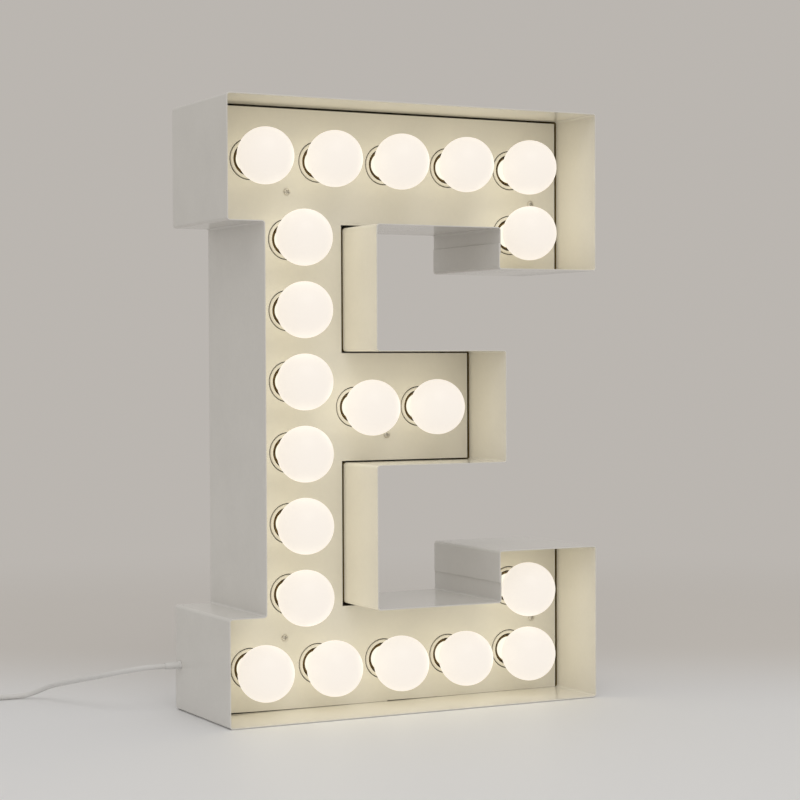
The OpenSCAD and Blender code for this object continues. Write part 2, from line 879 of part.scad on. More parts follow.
// Rocker, tilted to its on side, with a pivot pin at each cheek
module switch_rocker() {
    pin_reach = 2.2;
    end_up = 6;
    mid_up = 4.4;
    end_low = 1.5;
    keel = 2.4;
    half = rocker_len / 2;
    color("white") at_exit() translate([switch_mid, route_end.y, pivot_z]) rotate([0, rocker_tilt, 0]) {
        translate([0, rocker_w / 2, 0]) rotate([90, 0, 0]) linear_extrude(rocker_w) polygon([
            [-half, end_up],
            [-half, end_low],
            [-keel, -keel],
            [keel, -keel],
            [half, end_low],
            [half, end_up],
            [0, mid_up]
        ]);
        rotate([90, 0, 0]) cylinder(d = pivot_d, h = rocker_w + 2 * pin_reach, center = true);
    }
}

module cord_coil() {
    echo(coil_least_gap = coil_gap());
    color("whitesmoke") at_exit() tube(coil_path, cord_r, coil_sides);
}

// Strap round the bundle, away from the climbs, with its buckle outside
module coil_tie() {
    place = 135;
    round_r = 2;
    buckle = [4, 8, 8];
    hold_w = coil_rise + cord_d + 2 * tie_gap;
    hold_h = coil_top - coil_low + cord_d + 2 * tie_gap;
    color("dimgray") at_exit()
        translate([coil_x, coil_y, tie_t + hold_h / 2]) rotate([0, 0, place]) translate([coil_d / 2, 0, 0]) {
            translate([0, tie_w / 2, 0]) rotate([90, 0, 0]) linear_extrude(tie_w) difference() {
                polygon(round_rect(hold_w + 2 * tie_t, hold_h + 2 * tie_t, round_r + tie_t));
                polygon(round_rect(hold_w, hold_h, round_r));
            }
            translate([hold_w / 2 + tie_t, -buckle.y / 2, -buckle.z / 2]) cube(buckle);
        }
}

// Moulded plug: face disc, grip and a tapered tail, with recesses for the earth clips
module plug_body() {
    tail_r = plug_tail_d / 2;
    grip_r = plug_grip_d / 2;
    disc_start = plug_len - plug_disc;
    neck = disc_start - plug_grip;
    slope = 6;
    edge = 1;
    color("whitesmoke") at_exit() translate([plug_x, plug_y, plug_r]) rotate([90, 0, 0]) difference() {
        rotate_extrude() polygon([
            [0, 0],
            [tail_r, 0],
            [tail_r * 1.3, neck - slope],
            [grip_r * 0.7, neck - slope / 2],
            [grip_r, neck + slope / 2],
            [grip_r, disc_start - slope],
            [plug_r, disc_start],
            [plug_r, plug_len - edge],
            [plug_r - edge, plug_len],
            [0, plug_len]
        ]);
        for (s = [-1, 1])
            translate([-earth_w, s * plug_r - (s > 0 ? earth_recess : 0), plug_len - earth_len])
            cube([2 * earth_w, earth_recess, 2 * earth_len]);
    }
}

module plug_contacts() {
    point = 1;
    color("silver") at_exit() translate([plug_x, plug_y, plug_r]) rotate([90, 0, 0]) {
        for (s = [-1, 1]) {
            translate([s * pin_pitch / 2, 0, plug_len]) rotate_extrude() polygon([
                [0, 0],
                [pin_d / 2, 0],
                [pin_d / 2, pin_len - point],
                [pin_d / 2 - point, pin_len],
                [0, pin_len]
            ]);
            translate([-earth_w / 2, s * (plug_r - earth_recess) - (s > 0 ? 0 : earth_t),
                plug_len - earth_len])
                cube([earth_w, earth_t, earth_len]);
        }
    }
}

outer_return();
inner_return();
back_panel();
face_panel();
panel_standoffs();
face_screws();
holder_bodies();
holder_collars();
holder_shells();
holder_contacts();
wiring_loom();
terminal_block();
cord_gland();
cord();
switch_case();
switch_rocker();
cord_coil();
coil_tie();
plug_body();
plug_contacts();
for (k = [0:len(bulbs) - 1]) {
    bulb_cap(k);
    bulb_globe(k);
}
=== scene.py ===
# %% [markdown]
# # A light-up letter
# The object is a free-standing slab-serif E of painted sheet metal. A face panel sits deep inside
# it and carries rows of lit globe bulbs. The solids come from CAD and hold every size. This lesson
# dresses them: smooth sheet, real screw threads, glowing opal glass, a cord, paint and light.

# %% Load the solids
import json
import math

import bmesh
import bpy
from mathutils import Matrix, Vector

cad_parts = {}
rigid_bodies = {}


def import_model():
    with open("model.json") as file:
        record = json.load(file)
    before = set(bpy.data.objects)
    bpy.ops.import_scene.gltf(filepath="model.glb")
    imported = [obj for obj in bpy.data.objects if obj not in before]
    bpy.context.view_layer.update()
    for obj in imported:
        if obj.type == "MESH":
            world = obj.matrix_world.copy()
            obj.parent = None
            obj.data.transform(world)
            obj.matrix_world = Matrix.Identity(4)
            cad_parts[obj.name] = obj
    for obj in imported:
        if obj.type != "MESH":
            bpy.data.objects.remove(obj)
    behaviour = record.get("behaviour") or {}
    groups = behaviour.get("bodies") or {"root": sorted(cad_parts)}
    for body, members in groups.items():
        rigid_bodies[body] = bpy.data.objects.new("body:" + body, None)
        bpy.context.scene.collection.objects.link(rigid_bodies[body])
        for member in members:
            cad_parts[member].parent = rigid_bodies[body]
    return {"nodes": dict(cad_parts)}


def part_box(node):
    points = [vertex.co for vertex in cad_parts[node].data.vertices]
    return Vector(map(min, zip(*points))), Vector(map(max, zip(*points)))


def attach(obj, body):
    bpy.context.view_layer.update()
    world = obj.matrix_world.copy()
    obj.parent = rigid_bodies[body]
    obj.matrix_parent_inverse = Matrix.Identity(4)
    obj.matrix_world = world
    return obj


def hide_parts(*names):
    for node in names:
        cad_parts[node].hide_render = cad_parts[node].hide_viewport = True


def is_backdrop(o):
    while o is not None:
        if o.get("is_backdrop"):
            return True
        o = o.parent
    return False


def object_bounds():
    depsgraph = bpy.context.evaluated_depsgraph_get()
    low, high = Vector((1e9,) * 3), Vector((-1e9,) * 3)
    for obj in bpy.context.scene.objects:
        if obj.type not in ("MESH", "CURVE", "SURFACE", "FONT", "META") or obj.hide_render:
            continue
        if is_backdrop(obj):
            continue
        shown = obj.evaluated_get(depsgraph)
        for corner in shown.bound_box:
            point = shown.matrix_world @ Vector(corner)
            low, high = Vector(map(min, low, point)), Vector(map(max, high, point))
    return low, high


for spare in list(bpy.data.objects):
    bpy.data.objects.remove(spare)
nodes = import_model()["nodes"]
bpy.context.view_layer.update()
scene = bpy.context.scene
MM = 0.001


def in_scene(name, data):
    """A new object in the scene, for a mesh, a camera or a lamp."""
    obj = bpy.data.objects.new(name, data)
    scene.collection.objects.link(obj)
    return obj


# %% [markdown]
# ## Camera
# The photograph was taken from the left of the letter with a long lens, a little above the middle
# of its height. A small shift of the lens puts the letter where the frame has it, which is better
# than turning the camera, because a turn would make the upright edges lean.

# %% Camera
CAMERA_PLACE = (-1.0516, -2.0542, 0.3747)
VIEW_YAW, VIEW_PITCH, VIEW_ROLL = 27.434, -1.571, -0.217
FOCAL_PX, FRAME_PX, SENSOR_MM = 2103.4, 800.0, 36
SHIFT_X, SHIFT_Y = -0.0004, 0.0253

yaw, pitch, roll = (math.radians(a) for a in (VIEW_YAW, VIEW_PITCH, VIEW_ROLL))
forward = Vector((
    math.sin(yaw) * math.cos(pitch),
    math.cos(yaw) * math.cos(pitch),
    math.sin(pitch),
))
level = Vector((math.cos(yaw), -math.sin(yaw), 0))
upright = level.cross(forward)
right = level * math.cos(roll) + upright * math.sin(roll)
up = upright * math.cos(roll) - level * math.sin(roll)

camera_data = bpy.data.cameras.new("camera")
camera_data.sensor_width = SENSOR_MM
camera_data.lens = SENSOR_MM * FOCAL_PX / FRAME_PX
camera_data.shift_x, camera_data.shift_y = SHIFT_X, SHIFT_Y
camera = in_scene("camera", camera_data)
turn = Matrix((right, up, -forward)).transposed().to_4x4()
camera.matrix_world = Matrix.Translation(CAMERA_PLACE) @ turn
scene.camera = camera
scene.view_settings.view_transform = "Standard"
print("lens:", round(camera_data.lens, 1), "mm")

# %% [markdown]
# ## Helpers for meshes
# Most pieces here are turned on a lathe, swept along a path or folded from a strip. A few small
# helpers make them from plain lists of points, and another lays a finished mesh in the scene.
# Every finished piece keeps its object at the origin, with its place in its mesh, as the solids do.

# %% Mesh helpers
LETTER_W, LETTER_D, LETTER_H = 443, 151, 650
TURNED_SMOOTH, SHEET_SMOOTH = math.radians(30), math.radians(14)
MERGE_GAP = 1e-6


def at(x, y, z):
    """A point given in mm from the letter's bottom left front corner, in the model's frame."""
    return Vector((x - LETTER_W / 2, y - LETTER_D / 2, z)) * MM


def piece(name, mesh, materials, node, body="case", smooth=TURNED_SMOOTH):
    """Lays a mesh in the scene in place of a solid, on a body, smooth below an angle."""
    obj = in_scene(name, mesh)
    mesh.name = name
    if mesh.materials:
        mesh.materials.clear()
    for material in materials:
        mesh.materials.append(material)
    mesh.shade_smooth()
    mesh.set_sharp_from_angle(angle=smooth)
    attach(obj, body)
    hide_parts(node)
    return obj


def mesh_from(points, faces, edges=()):
    mesh = bpy.data.meshes.new("mesh")
    mesh.from_pydata([tuple(p) for p in points], edges, faces)
    mesh.validate()
    return mesh


def new_mesh(work):
    """A new mesh from finished bmesh work."""
    mesh = bpy.data.meshes.new("mesh")
    work.to_mesh(mesh)
    work.free()
    return mesh


def reworked(mesh, change):
    """Runs a change on a mesh's points, edges and faces, and writes them back."""
    work = bmesh.new()
    work.from_mesh(mesh)
    change(work)
    work.to_mesh(mesh)
    work.free()
    return mesh


def tidy(mesh):
    """Merges doubled points and turns every face outwards."""
    def merge(work):
        bmesh.ops.remove_doubles(work, verts=work.verts, dist=MERGE_GAP)
        bmesh.ops.recalc_face_normals(work, faces=work.faces)
    return reworked(mesh, merge)


def sweep(path, radius, sides):
    """A round tube along a path that is never upright, closed at both ends."""
    points, faces = [], []
    for k, centre in enumerate(path):
        along = (path[min(k + 1, len(path) - 1)] - path[max(k - 1, 0)]).normalized()
        side = along.cross(Vector((0, 0, 1))).normalized()
        over = side.cross(along)
        for s in range(sides):
            a = 2 * math.pi * s / sides
            points.append(centre + radius * (math.cos(a) * side + math.sin(a) * over))
    for k in range(len(path) - 1):
        for s in range(sides):
            t = (s + 1) % sides
            faces.append((k * sides + s, k * sides + t, (k + 1) * sides + t, (k + 1) * sides + s))
    last = (len(path) - 1) * sides
    faces.append(tuple(range(sides)))
    faces.append(tuple(last + s for s in range(sides)))
    return tidy(mesh_from(points, faces))


def lathe(outline, steps):
    """Turns an outline of (radius, depth) points in mm about the depth axis, +Y."""
    points, faces = [], []
    count = len(outline)
    for s in range(steps):
        a = 2 * math.pi * s / steps
        for r, depth in outline:
            points.append(Vector((r * math.cos(a), depth, r * math.sin(a))) * MM)
    for s in range(steps):
        t = (s + 1) % steps
        for k in range(count - 1):
            faces.append((s * count + k, s * count + k + 1, t * count + k + 1, t * count + k))
    return tidy(mesh_from(points, faces))


print("helpers ready")

# %% [markdown]
# ## The cord
# A white round lead leaves a moulded bush low on the left side, bends back behind the letter and
# comes down to the floor. The photograph ends there. The rest is put away out of view: a hand
# switch, a tied coil and a plug. The route is a list of points that the solid follows too. A
# smooth curve through them gives a rounder cord than straight lengths between them.

# %% Cord and coil
CORD_D, CORD_SIDES, CORD_PARTS, EXIT_IN = 5.5, 18, 4, 14
EXIT_Y = LETTER_D - EXIT_IN
ROUTE = [
    (0, 0, 49.5), (-9, 0, 49.5), (-18, 0, 49.5), (-29, 0, 49.5), (-38, 3, 49), (-47, 10, 47),
    (-56, 21.5, 44), (-65, 37, 40), (-74, 56, 35), (-82, 76, 30.5), (-90, 97, 25.5),
    (-97, 118, 20.5), (-103, 136, 15.5), (-110, 150, 9.5), (-119, 159.5, 4.8), (-130, 164, 2.8),
    (-141, 165, 2.8), (-150, 165, 3), (-158, 165, 4.5), (-166, 165, 7.5), (-173, 165, 9.6),
    (-178, 165, 10), (-184, 165, 10),
]
SWITCH_LEN, PLUG_R, TIE_T, TIE_GAP = 58, 18.5, 0.8, 0.4
COIL_D, COIL_TURNS, COIL_PITCH, COIL_LAYERS, CLIMB = 62, 7.25, 6.9, 4, 0.5
COIL_LOW = CORD_D / 2 + TIE_T + TIE_GAP
COIL_SIDES, COIL_RINGS = 14, 48
LEAD_RUN, TAIL_RUN, RUN_STEPS = 36, 40, 12


def smoothed(points, parts):
    """More points on a curve that passes through the given ones."""
    ends = [points[0] * 2 - points[1]] + points + [points[-1] * 2 - points[-2]]
    out = []
    for k in range(1, len(ends) - 2):
        a, b, c, d = ends[k - 1:k + 3]
        for j in range(parts):
            t = j / parts
            out.append(0.5 * (
                2 * b + (c - a) * t + (2 * a - 5 * b + 4 * c - d) * t * t
                + (3 * b - a - 3 * c + d) * t * t * t
            ))
    return out + [points[-1]]


def ease(f):
    return f * f * (3 - 2 * f)


def coil_path():
    """Lead from the switch, four layers that wind in and out, and the tail to the plug."""
    layer_turns = (COIL_TURNS - (COIL_LAYERS - 1) * CLIMB) / COIL_LAYERS
    rise = layer_turns * COIL_PITCH
    outer = COIL_D / 2 + rise / 2
    top = COIL_LOW + (COIL_LAYERS - 1) * COIL_PITCH
    end_x, end_y, end_z = ROUTE[-1]
    start_x = end_x - SWITCH_LEN
    mid_x, mid_y = start_x - CORD_D - LEAD_RUN, end_y - outer
    path = [(start_x, end_y, end_z)]
    for k in range(RUN_STEPS):
        f = k / RUN_STEPS
        path.append((mid_x + LEAD_RUN * (1 - f), end_y, end_z + (COIL_LOW - end_z) * ease(f)))
    for k in range(int(COIL_TURNS * COIL_RINGS) + 1):
        t = k / COIL_RINGS
        layer = min(int(t / (layer_turns + CLIMB)), COIL_LAYERS - 1)
        turned_by = t - layer * (layer_turns + CLIMB)
        share = min(turned_by, layer_turns) / layer_turns
        r = outer - rise * (share if layer % 2 == 0 else 1 - share)
        height = COIL_LOW + COIL_PITCH * (layer + max(turned_by - layer_turns, 0) / CLIMB)
        a = math.pi / 2 + 2 * math.pi * t
        path.append((mid_x + r * math.cos(a), mid_y + r * math.sin(a), height))
    for k in range(1, RUN_STEPS + 1):
        f = k / RUN_STEPS
        path.append((mid_x - outer, mid_y - TAIL_RUN * f, top + (PLUG_R - top) * ease(f)))
    path.append((mid_x - outer, mid_y - TAIL_RUN - CORD_D, PLUG_R))
    return path


def from_exit(points):
    return [at(x, y + EXIT_Y, z) for x, y, z in points]


def path_length(path):
    return sum((b - a).length for a, b in zip(path, path[1:]))


cord_route = smoothed(from_exit(ROUTE), CORD_PARTS)
for point in cord_route:
    point.z = max(point.z, CORD_D / 2 * MM)
coil_route = from_exit(coil_path())
cord = piece("cord_sheath", sweep(cord_route, CORD_D / 2 * MM, CORD_SIDES), [], "cord")
coil = piece("coil_sheath", sweep(coil_route, CORD_D / 2 * MM, COIL_SIDES), [], "cord_coil")
for name, route in (("cord", cord_route), ("coil", coil_route)):
    print(name, round(path_length(route), 3), "m")

# %% [markdown]
# ## Finishes
# Powder paint on sheet metal is never quite flat: it has a fine orange-peel skin, and the sheet
# below it waves a little, which shows in soft reflections. Moulded plastic has a similar fine skin.
# One node group makes both from noise on the object's own coordinates, and each finish places it
# with its own sizes. A second group adds the faint smudges and dust that handling leaves.

# %% Node helpers
def new_group(name, ins, outs):
    """A shader node group with the titles and kinds of what comes in and goes out."""
    group = bpy.data.node_groups.new(name, "ShaderNodeTree")
    for way, sockets in (("INPUT", ins), ("OUTPUT", outs)):
        for title, kind in sockets.items():
            group.interface.new_socket(title, in_out=way, socket_type="NodeSocket" + kind)
    first, last = (group.nodes.new("NodeGroup" + end) for end in ("Input", "Output"))
    return group, first.outputs, last.inputs


def fill(tree, socket, value):
    """Links a socket to another node's output, or sets it to a plain value."""
    if isinstance(value, bpy.types.NodeSocket):
        tree.links.new(value, socket)
    else:
        socket.default_value = value


def feed(tree, node, **ins):
    """Fills a node's inputs by their titles and gives back its outputs."""
    for title, value in ins.items():
        for one in value if isinstance(value, list) else [value]:
            fill(tree, node.inputs[title.replace("_", " ")], one)
    return node.outputs


def step(tree, kind, settings=None, **ins):
    """Adds a node, sets its options and fills its inputs."""
    node = tree.nodes.new(kind)
    for option, value in (settings or {}).items():
        setattr(node, option, value)
    return feed(tree, node, **ins)


def noise(tree, vector, scale, detail, roughness=0.5):
    return step(tree, "ShaderNodeTexNoise", Vector=vector, Scale=scale, Detail=detail,
                Roughness=roughness)["Fac"]


def maths(tree, kind, a, b=0):
    node = tree.nodes.new("ShaderNodeMath")
    node.operation = kind
    for socket, value in zip(node.inputs, (a, b)):
        fill(tree, socket, value)
    return node.outputs[0]


def spread(tree, value, low, high, to_low=0.0, to_high=1.0, way="LINEAR"):
    """Spreads a value from low to high over another range, and stops at its ends."""
    return step(tree, "ShaderNodeMapRange", {"interpolation_type": way}, Value=value,
                From_Min=low, From_Max=high, To_Min=to_low, To_Max=to_high)["Result"]


print("node helpers ready")

# %% Node groups
SMEAR_SCALE, SPECK_SCALE, SMEAR_SHARE = 14.0, 240.0, 0.75
MARKS_LOW, MARKS_MIDDLE, MARKS_HIGH, ROUGHNESS_SPREAD = 0.35, 0.5, 0.65, 0.1
skin, skin_in, skin_out = new_group(
    "paint_skin", {"Vector": "Vector", "Peel Scale": "Float", "Peel Height": "Float",
                   "Wave Scale": "Float", "Wave Height": "Float"}, {"Height": "Float"})
peel = noise(skin, skin_in["Vector"], skin_in["Peel Scale"], detail=1.0)
wave = noise(skin, skin_in["Vector"], skin_in["Wave Scale"], detail=0.0)
fill(skin, skin_out["Height"], maths(
    skin, "ADD", maths(skin, "MULTIPLY", peel, skin_in["Peel Height"]),
    maths(skin, "MULTIPLY", wave, skin_in["Wave Height"])))

soil, soil_in, soil_out = new_group(
    "handling", {"Vector": "Vector", "Color": "Color", "Smudge": "Float", "Roughness": "Float"},
    {"Color": "Color", "Roughness": "Float"})
smear = noise(soil, soil_in["Vector"], SMEAR_SCALE, detail=4.0, roughness=0.6)
speck = noise(soil, soil_in["Vector"], SPECK_SCALE, detail=2.0)
marks = maths(soil, "ADD", maths(soil, "MULTIPLY", smear, SMEAR_SHARE),
              maths(soil, "MULTIPLY", speck, 1 - SMEAR_SHARE))
dark = spread(soil, marks, MARKS_LOW, MARKS_HIGH, 1.0,
              maths(soil, "SUBTRACT", 1.0, soil_in["Smudge"]))
tint = step(soil, "ShaderNodeVectorMath", {"operation": "SCALE"}, Vector=soil_in["Color"],
            Scale=dark)[0]
shift = maths(soil, "MULTIPLY", maths(soil, "SUBTRACT", marks, MARKS_MIDDLE), ROUGHNESS_SPREAD)
fill(soil, soil_out["Color"], tint)
fill(soil, soil_out["Roughness"], maths(soil, "ADD", soil_in["Roughness"], shift))
print("groups:", skin.name, soil.name)


# %% Finishes from the groups
def new_material(name):
    """A material, its node tree, its shader and the object's own coordinates."""
    material = bpy.data.materials.new(name)
    material.use_nodes = True
    tree = material.node_tree
    where = step(tree, "ShaderNodeTexCoord")["Object"]
    return material, tree, tree.nodes["Principled BSDF"], where


def finish(name, color, roughness, wave, smudge=0.05, peel=(900, 0.00002), metallic=0.0):
    """A handled surface. Peel and wave are each a scale and a height in metres."""
    material, tree, shader, where = new_material(name)
    handled = step(tree, "ShaderNodeGroup", {"node_tree": soil}, Vector=where, Color=(*color, 1),
                   Smudge=smudge, Roughness=roughness)
    surface = step(tree, "ShaderNodeGroup", {"node_tree": skin}, Vector=where, Peel_Scale=peel[0],
                   Peel_Height=peel[1], Wave_Scale=wave[0], Wave_Height=wave[1])
    relief = step(tree, "ShaderNodeBump", Height=surface["Height"], Distance=1.0, Strength=1.0)
    feed(tree, shader, Base_Color=handled["Color"], Roughness=handled["Roughness"],
         Normal=relief["Normal"], Metallic=metallic)
    return material


METAL = {"peel": (1500, 0.00001), "wave": (30, 0.00003)}
outer_paint = finish("outer_paint", (0.73, 0.71, 0.67), 0.1, (4, 0.0003), peel=(900, 0.000008))
# A warmer copy of the outer paint for the inner sides: painted warm light of the bulbs, not a
# second paint.
warm_lit_paint = finish("warm_lit_paint", (0.79, 0.76, 0.69), 0.14, (4, 0.0003), peel=(900, 0.00001))
# The face panel takes the same white paint made warmer: painted warm light of the bulbs.
face_paint = finish("face_paint", (0.76, 0.73, 0.655), 0.2, (4, 0.0006), smudge=0.04)
holder_plastic = finish("holder_plastic", (0.77, 0.735, 0.66), 0.25, (20, 0.00005))
steel = finish("zinc_steel", (0.66, 0.63, 0.57), 0.42, smudge=0.15, metallic=0.7, **METAL)
brass = finish("brass", (0.72, 0.53, 0.25), 0.3, smudge=0.2, metallic=1.0, **METAL)
cap_metal = finish("cap_metal", (0.70, 0.68, 0.63), 0.3, smudge=0.15, metallic=1.0, **METAL)
cord_skin = finish("cord_skin", (0.72, 0.71, 0.69), 0.5, (40, 0.00005), smudge=0.06,
                   peel=(1800, 0.00003))
switch_plastic = finish("switch_plastic", (0.66, 0.645, 0.61), 0.35, (30, 0.00003),
                        peel=(1600, 0.00002))
# Black plastic for the cable tie, also laid on the hidden collars as painted shade.
tie_plastic = finish("tie_plastic", (0.035, 0.035, 0.036), 0.5, (40, 0.00005), smudge=0.2,
                     peel=(1600, 0.00003))
for obj in (cord, coil):
    obj.data.materials.append(cord_skin)
print("finishes:", len(bpy.data.materials))

# %% [markdown]
# ## The folded strips
# The sides of the letter are two strips of sheet, folded at every corner. One makes the outside and
# left of the letter, the other the two open bays at its right, and their ends lap on the inner
# faces of the right serifs. A strip is a path with round bends, given a thickness and a depth. Its
# cut edges get a small bevel, because a real cut edge catches light. Its inner side takes a warmer
# copy of the same white paint in a second slot: painted warm light of the bulbs.

# %% Folded strips
SHEET_T, BEND_R, BEND_STEPS, CUT_EDGE, FACE_Y = 1.2, 3, 8, 0.25, 81
TOP_LOW, BOTTOM_TOP = 520, 113.5
STEM_L, STEM_R, MID_X, SERIF_X = 41, 171, 328, 319.5
MID_LOW, MID_TOP = 265, 388
SERIF_LOW, SERIF_TOP = 475.5, 169.5
SEAM_BELOW, SEAM_ABOVE, LAP = 16, 21, 12
TOP_SEAM, BOTTOM_SEAM = TOP_LOW - SEAM_BELOW, BOTTOM_TOP + SEAM_ABOVE
BACK_Y = LETTER_D - SHEET_T


def outer_corners(i):
    flange = SERIF_X - SHEET_T + i
    return [
        (flange, TOP_SEAM), (flange, SERIF_LOW + i), (LETTER_W - i, SERIF_LOW + i),
        (LETTER_W - i, LETTER_H - i), (i, LETTER_H - i), (i, TOP_LOW + i),
        (STEM_L + i, TOP_LOW + i), (STEM_L + i, BOTTOM_TOP - i), (i, BOTTOM_TOP - i), (i, i),
        (LETTER_W - i, i), (LETTER_W - i, SERIF_TOP - i), (flange, SERIF_TOP - i),
        (flange, BOTTOM_SEAM),
    ]


def inner_corners(i):
    return [
        (SERIF_X + i, BOTTOM_SEAM + LAP), (SERIF_X + i, BOTTOM_TOP - i),
        (STEM_R - i, BOTTOM_TOP - i), (STEM_R - i, MID_LOW + i), (MID_X - i, MID_LOW + i),
        (MID_X - i, MID_TOP - i), (STEM_R - i, MID_TOP - i), (STEM_R - i, TOP_LOW + i),
        (SERIF_X + i, TOP_LOW + i), (SERIF_X + i, TOP_SEAM - LAP),
    ]


def rounded(corners, i):
    """The strip's line, i inside its outer face, with an arc at each corner."""
    pts = [Vector(c) for c in corners(i)]
    out = [pts[0]]
    for a, b, c in zip(pts, pts[1:], pts[2:]):
        d1, d2 = (b - a).normalized(), (c - b).normalized()
        left = d1.x * d2.y - d1.y * d2.x > 0
        r = BEND_R + SHEET_T / 2 - i if left else BEND_R - SHEET_T / 2 + i
        for k in range(BEND_STEPS + 1):
            f = math.pi / 2 * k / BEND_STEPS
            out.append(b + r * (d2 - d1 + d1 * math.sin(f) - d2 * math.cos(f)))
    return out + [pts[-1]]


def bevelled(mesh, width, above=60):
    """Rounds the edges of a mesh that are sharper than an angle in degrees."""
    def round_off(work):
        sharp = [e for e in work.edges
                 if len(e.link_faces) == 2 and e.calc_face_angle(0) > math.radians(above)]
        bmesh.ops.bevel(work, geom=sharp, offset=width * MM, offset_type="OFFSET", segments=2,
                        profile=0.5, affect="EDGES", clamp_overlap=True)
    return reworked(mesh, round_off)


def strip(corners):
    """A folded strip: outer line, inner line and a small bevel on its cut edges."""
    outside, inside = rounded(corners, 0), rounded(corners, SHEET_T)
    count = len(outside)
    work = bmesh.new()
    out_f, out_b, in_b, in_f = (
        [work.verts.new(at(p.x, y, p.y)) for p in line]
        for line, y in ((outside, 0), (outside, BACK_Y), (inside, BACK_Y), (inside, 0))
    )
    for k in range(count - 1):
        for a, b, slot in ((out_f, out_b, 0), (out_b, in_b, 0), (in_b, in_f, 1), (in_f, out_f, 0)):
            work.faces.new((a[k], a[k + 1], b[k + 1], b[k])).material_index = slot
    for k in (0, count - 1):
        work.faces.new((out_f[k], out_b[k], in_b[k], in_f[k])).material_index = 0
    bmesh.ops.recalc_face_normals(work, faces=work.faces)
    return bevelled(new_mesh(work), CUT_EDGE)


for name, corners, node in (("outer_strip", outer_corners, "outer_return"),
                            ("inner_strip", inner_corners, "inner_return")):
    mesh = strip(corners)
    piece(name, mesh, [outer_paint, warm_lit_paint], node, smooth=SHEET_SMOOTH)
    print(name, len(mesh.polygons), "faces")

# %% [markdown]
# ## Node trees for what repeats
# Lampholders, screws and holes come many times over. Their shapes are written once, as Geometry
# Nodes trees with named sizes. A tree runs on a simple start mesh, such as a line or a set of
# points, and what it makes becomes a plain mesh. Copying one finished mesh would also do, but a
# tree can make a lampholder, a screw or a bush from nothing more than another line.

# %% Running a node tree
def new_tree(name, **sizes):
    """A Geometry Nodes tree with named sizes, and the outputs of its input node."""
    tree = bpy.data.node_groups.new(name, "GeometryNodeTree")
    for title, kind in {"Geometry": "Geometry", **sizes, "Material": "Material"}.items():
        tree.interface.new_socket(title, in_out="INPUT", socket_type="NodeSocket" + kind)
    tree.interface.new_socket("Geometry", in_out="OUTPUT", socket_type="NodeSocketGeometry")
    return tree, tree.nodes.new("NodeGroupInput").outputs


def geo(tree, kind, settings=None, **ins):
    """Adds a Geometry Nodes step and gives back its first output."""
    return step(tree, "GeometryNode" + kind, settings, **ins)[0]


def end_tree(tree, made, material):
    """Ends a tree: its instances become real and take the material."""
    real = geo(tree, "RealizeInstances", Geometry=made)
    done = geo(tree, "SetMaterial", Geometry=real, Material=material)
    tree.links.new(done, tree.nodes.new("NodeGroupOutput").inputs[0])
    print("tree:", tree.name)


def grown(tree, start, material, **sizes):
    """Runs a tree on a start mesh and gives back the plain mesh it made."""
    host = in_scene("host", start)
    modifier = host.modifiers.new(tree.name, "NODES")
    modifier.node_group = tree
    sizes["Material"] = material
    for socket in tree.interface.items_tree:
        if socket.in_out == "INPUT" and socket.name in sizes:
            modifier[socket.identifier] = sizes[socket.name]
    graph = bpy.context.evaluated_depsgraph_get()
    mesh = bpy.data.meshes.new_from_object(host.evaluated_get(graph), depsgraph=graph)
    host.modifiers.clear()
    bpy.data.objects.remove(host)
    return tidy(mesh)


print("tree helpers ready")

# %% [markdown]
# ### Turned pieces
# A turned piece is a line spun about the depth axis. The tree rounds the line's corners, counts
# its points and lays a grid whose columns stand round the axis and whose rows take the line's
# points. A curve swept round a circle would do the same for rings, but not for a line that ends on
# the axis. The screw thread further down bends its grid in the same way.

# %% Tree for turned pieces
def round_grid(tree, steps, rows):
    """A grid to bend round the depth axis, with each point's row and its angle."""
    grid = geo(tree, "MeshGrid", Vertices_X=maths(tree, "ADD", steps, 1), Vertices_Y=rows)
    number = geo(tree, "InputIndex")
    column = maths(tree, "FLOOR", maths(tree, "DIVIDE", number, rows))
    angle = maths(tree, "DIVIDE", maths(tree, "MULTIPLY", column, 2 * math.pi), steps)
    return grid, maths(tree, "MODULO", number, rows), angle


def bend_grid(tree, grid, radius, depth, angle):
    """Sets each point of a grid at its radius, depth and angle."""
    place = step(tree, "ShaderNodeCombineXYZ", Y=depth,
                 X=maths(tree, "MULTIPLY", radius, maths(tree, "COSINE", angle)),
                 Z=maths(tree, "MULTIPLY", radius, maths(tree, "SINE", angle)))[0]
    return geo(tree, "SetPosition", Geometry=grid, Position=place)


turned, given = new_tree("turned", Steps="Int", Edge="Float")
line = geo(turned, "MeshToCurve", Mesh=given["Geometry"])
soft = geo(turned, "FilletCurve", {"mode": "POLY"}, Curve=line, Radius=given["Edge"], Count=3,
           Limit_Radius=True)
wire = geo(turned, "CurveToMesh", Curve=soft)
count = step(turned, "GeometryNodeAttributeDomainSize", Geometry=wire)["Point Count"]
grid, row, angle = round_grid(turned, given["Steps"], count)
spot = geo(turned, "SampleIndex", {"data_type": "FLOAT_VECTOR"}, Geometry=wire,
           Value=geo(turned, "InputPosition"), Index=row)
part = step(turned, "ShaderNodeSeparateXYZ", Vector=spot)
end_tree(turned, bend_grid(turned, grid, part["X"], part["Y"], angle), given["Material"])


def spun(outline, material, steps, edge):
    """Turns a line of (radius, depth) points in mm and rounds its corners."""
    line = mesh_from([(r * MM, d * MM, 0) for r, d in outline], [],
                     [(k, k + 1) for k in range(len(outline) - 1)])
    return grown(turned, line, material, Steps=steps, Edge=edge * MM)


# %% [markdown]
# ### Copies on points
# This tree sets a copy of one object on every point, each turned about the depth axis by a chance
# amount with a fixed seed, since no two screws are driven home at the same angle.

# %% Tree for copies on points
def about_depth(tree, angle):
    """A rotation about the depth axis."""
    return step(tree, "FunctionNodeEulerToRotation",
                Euler=step(tree, "ShaderNodeCombineXYZ", Y=angle)[0])[0]


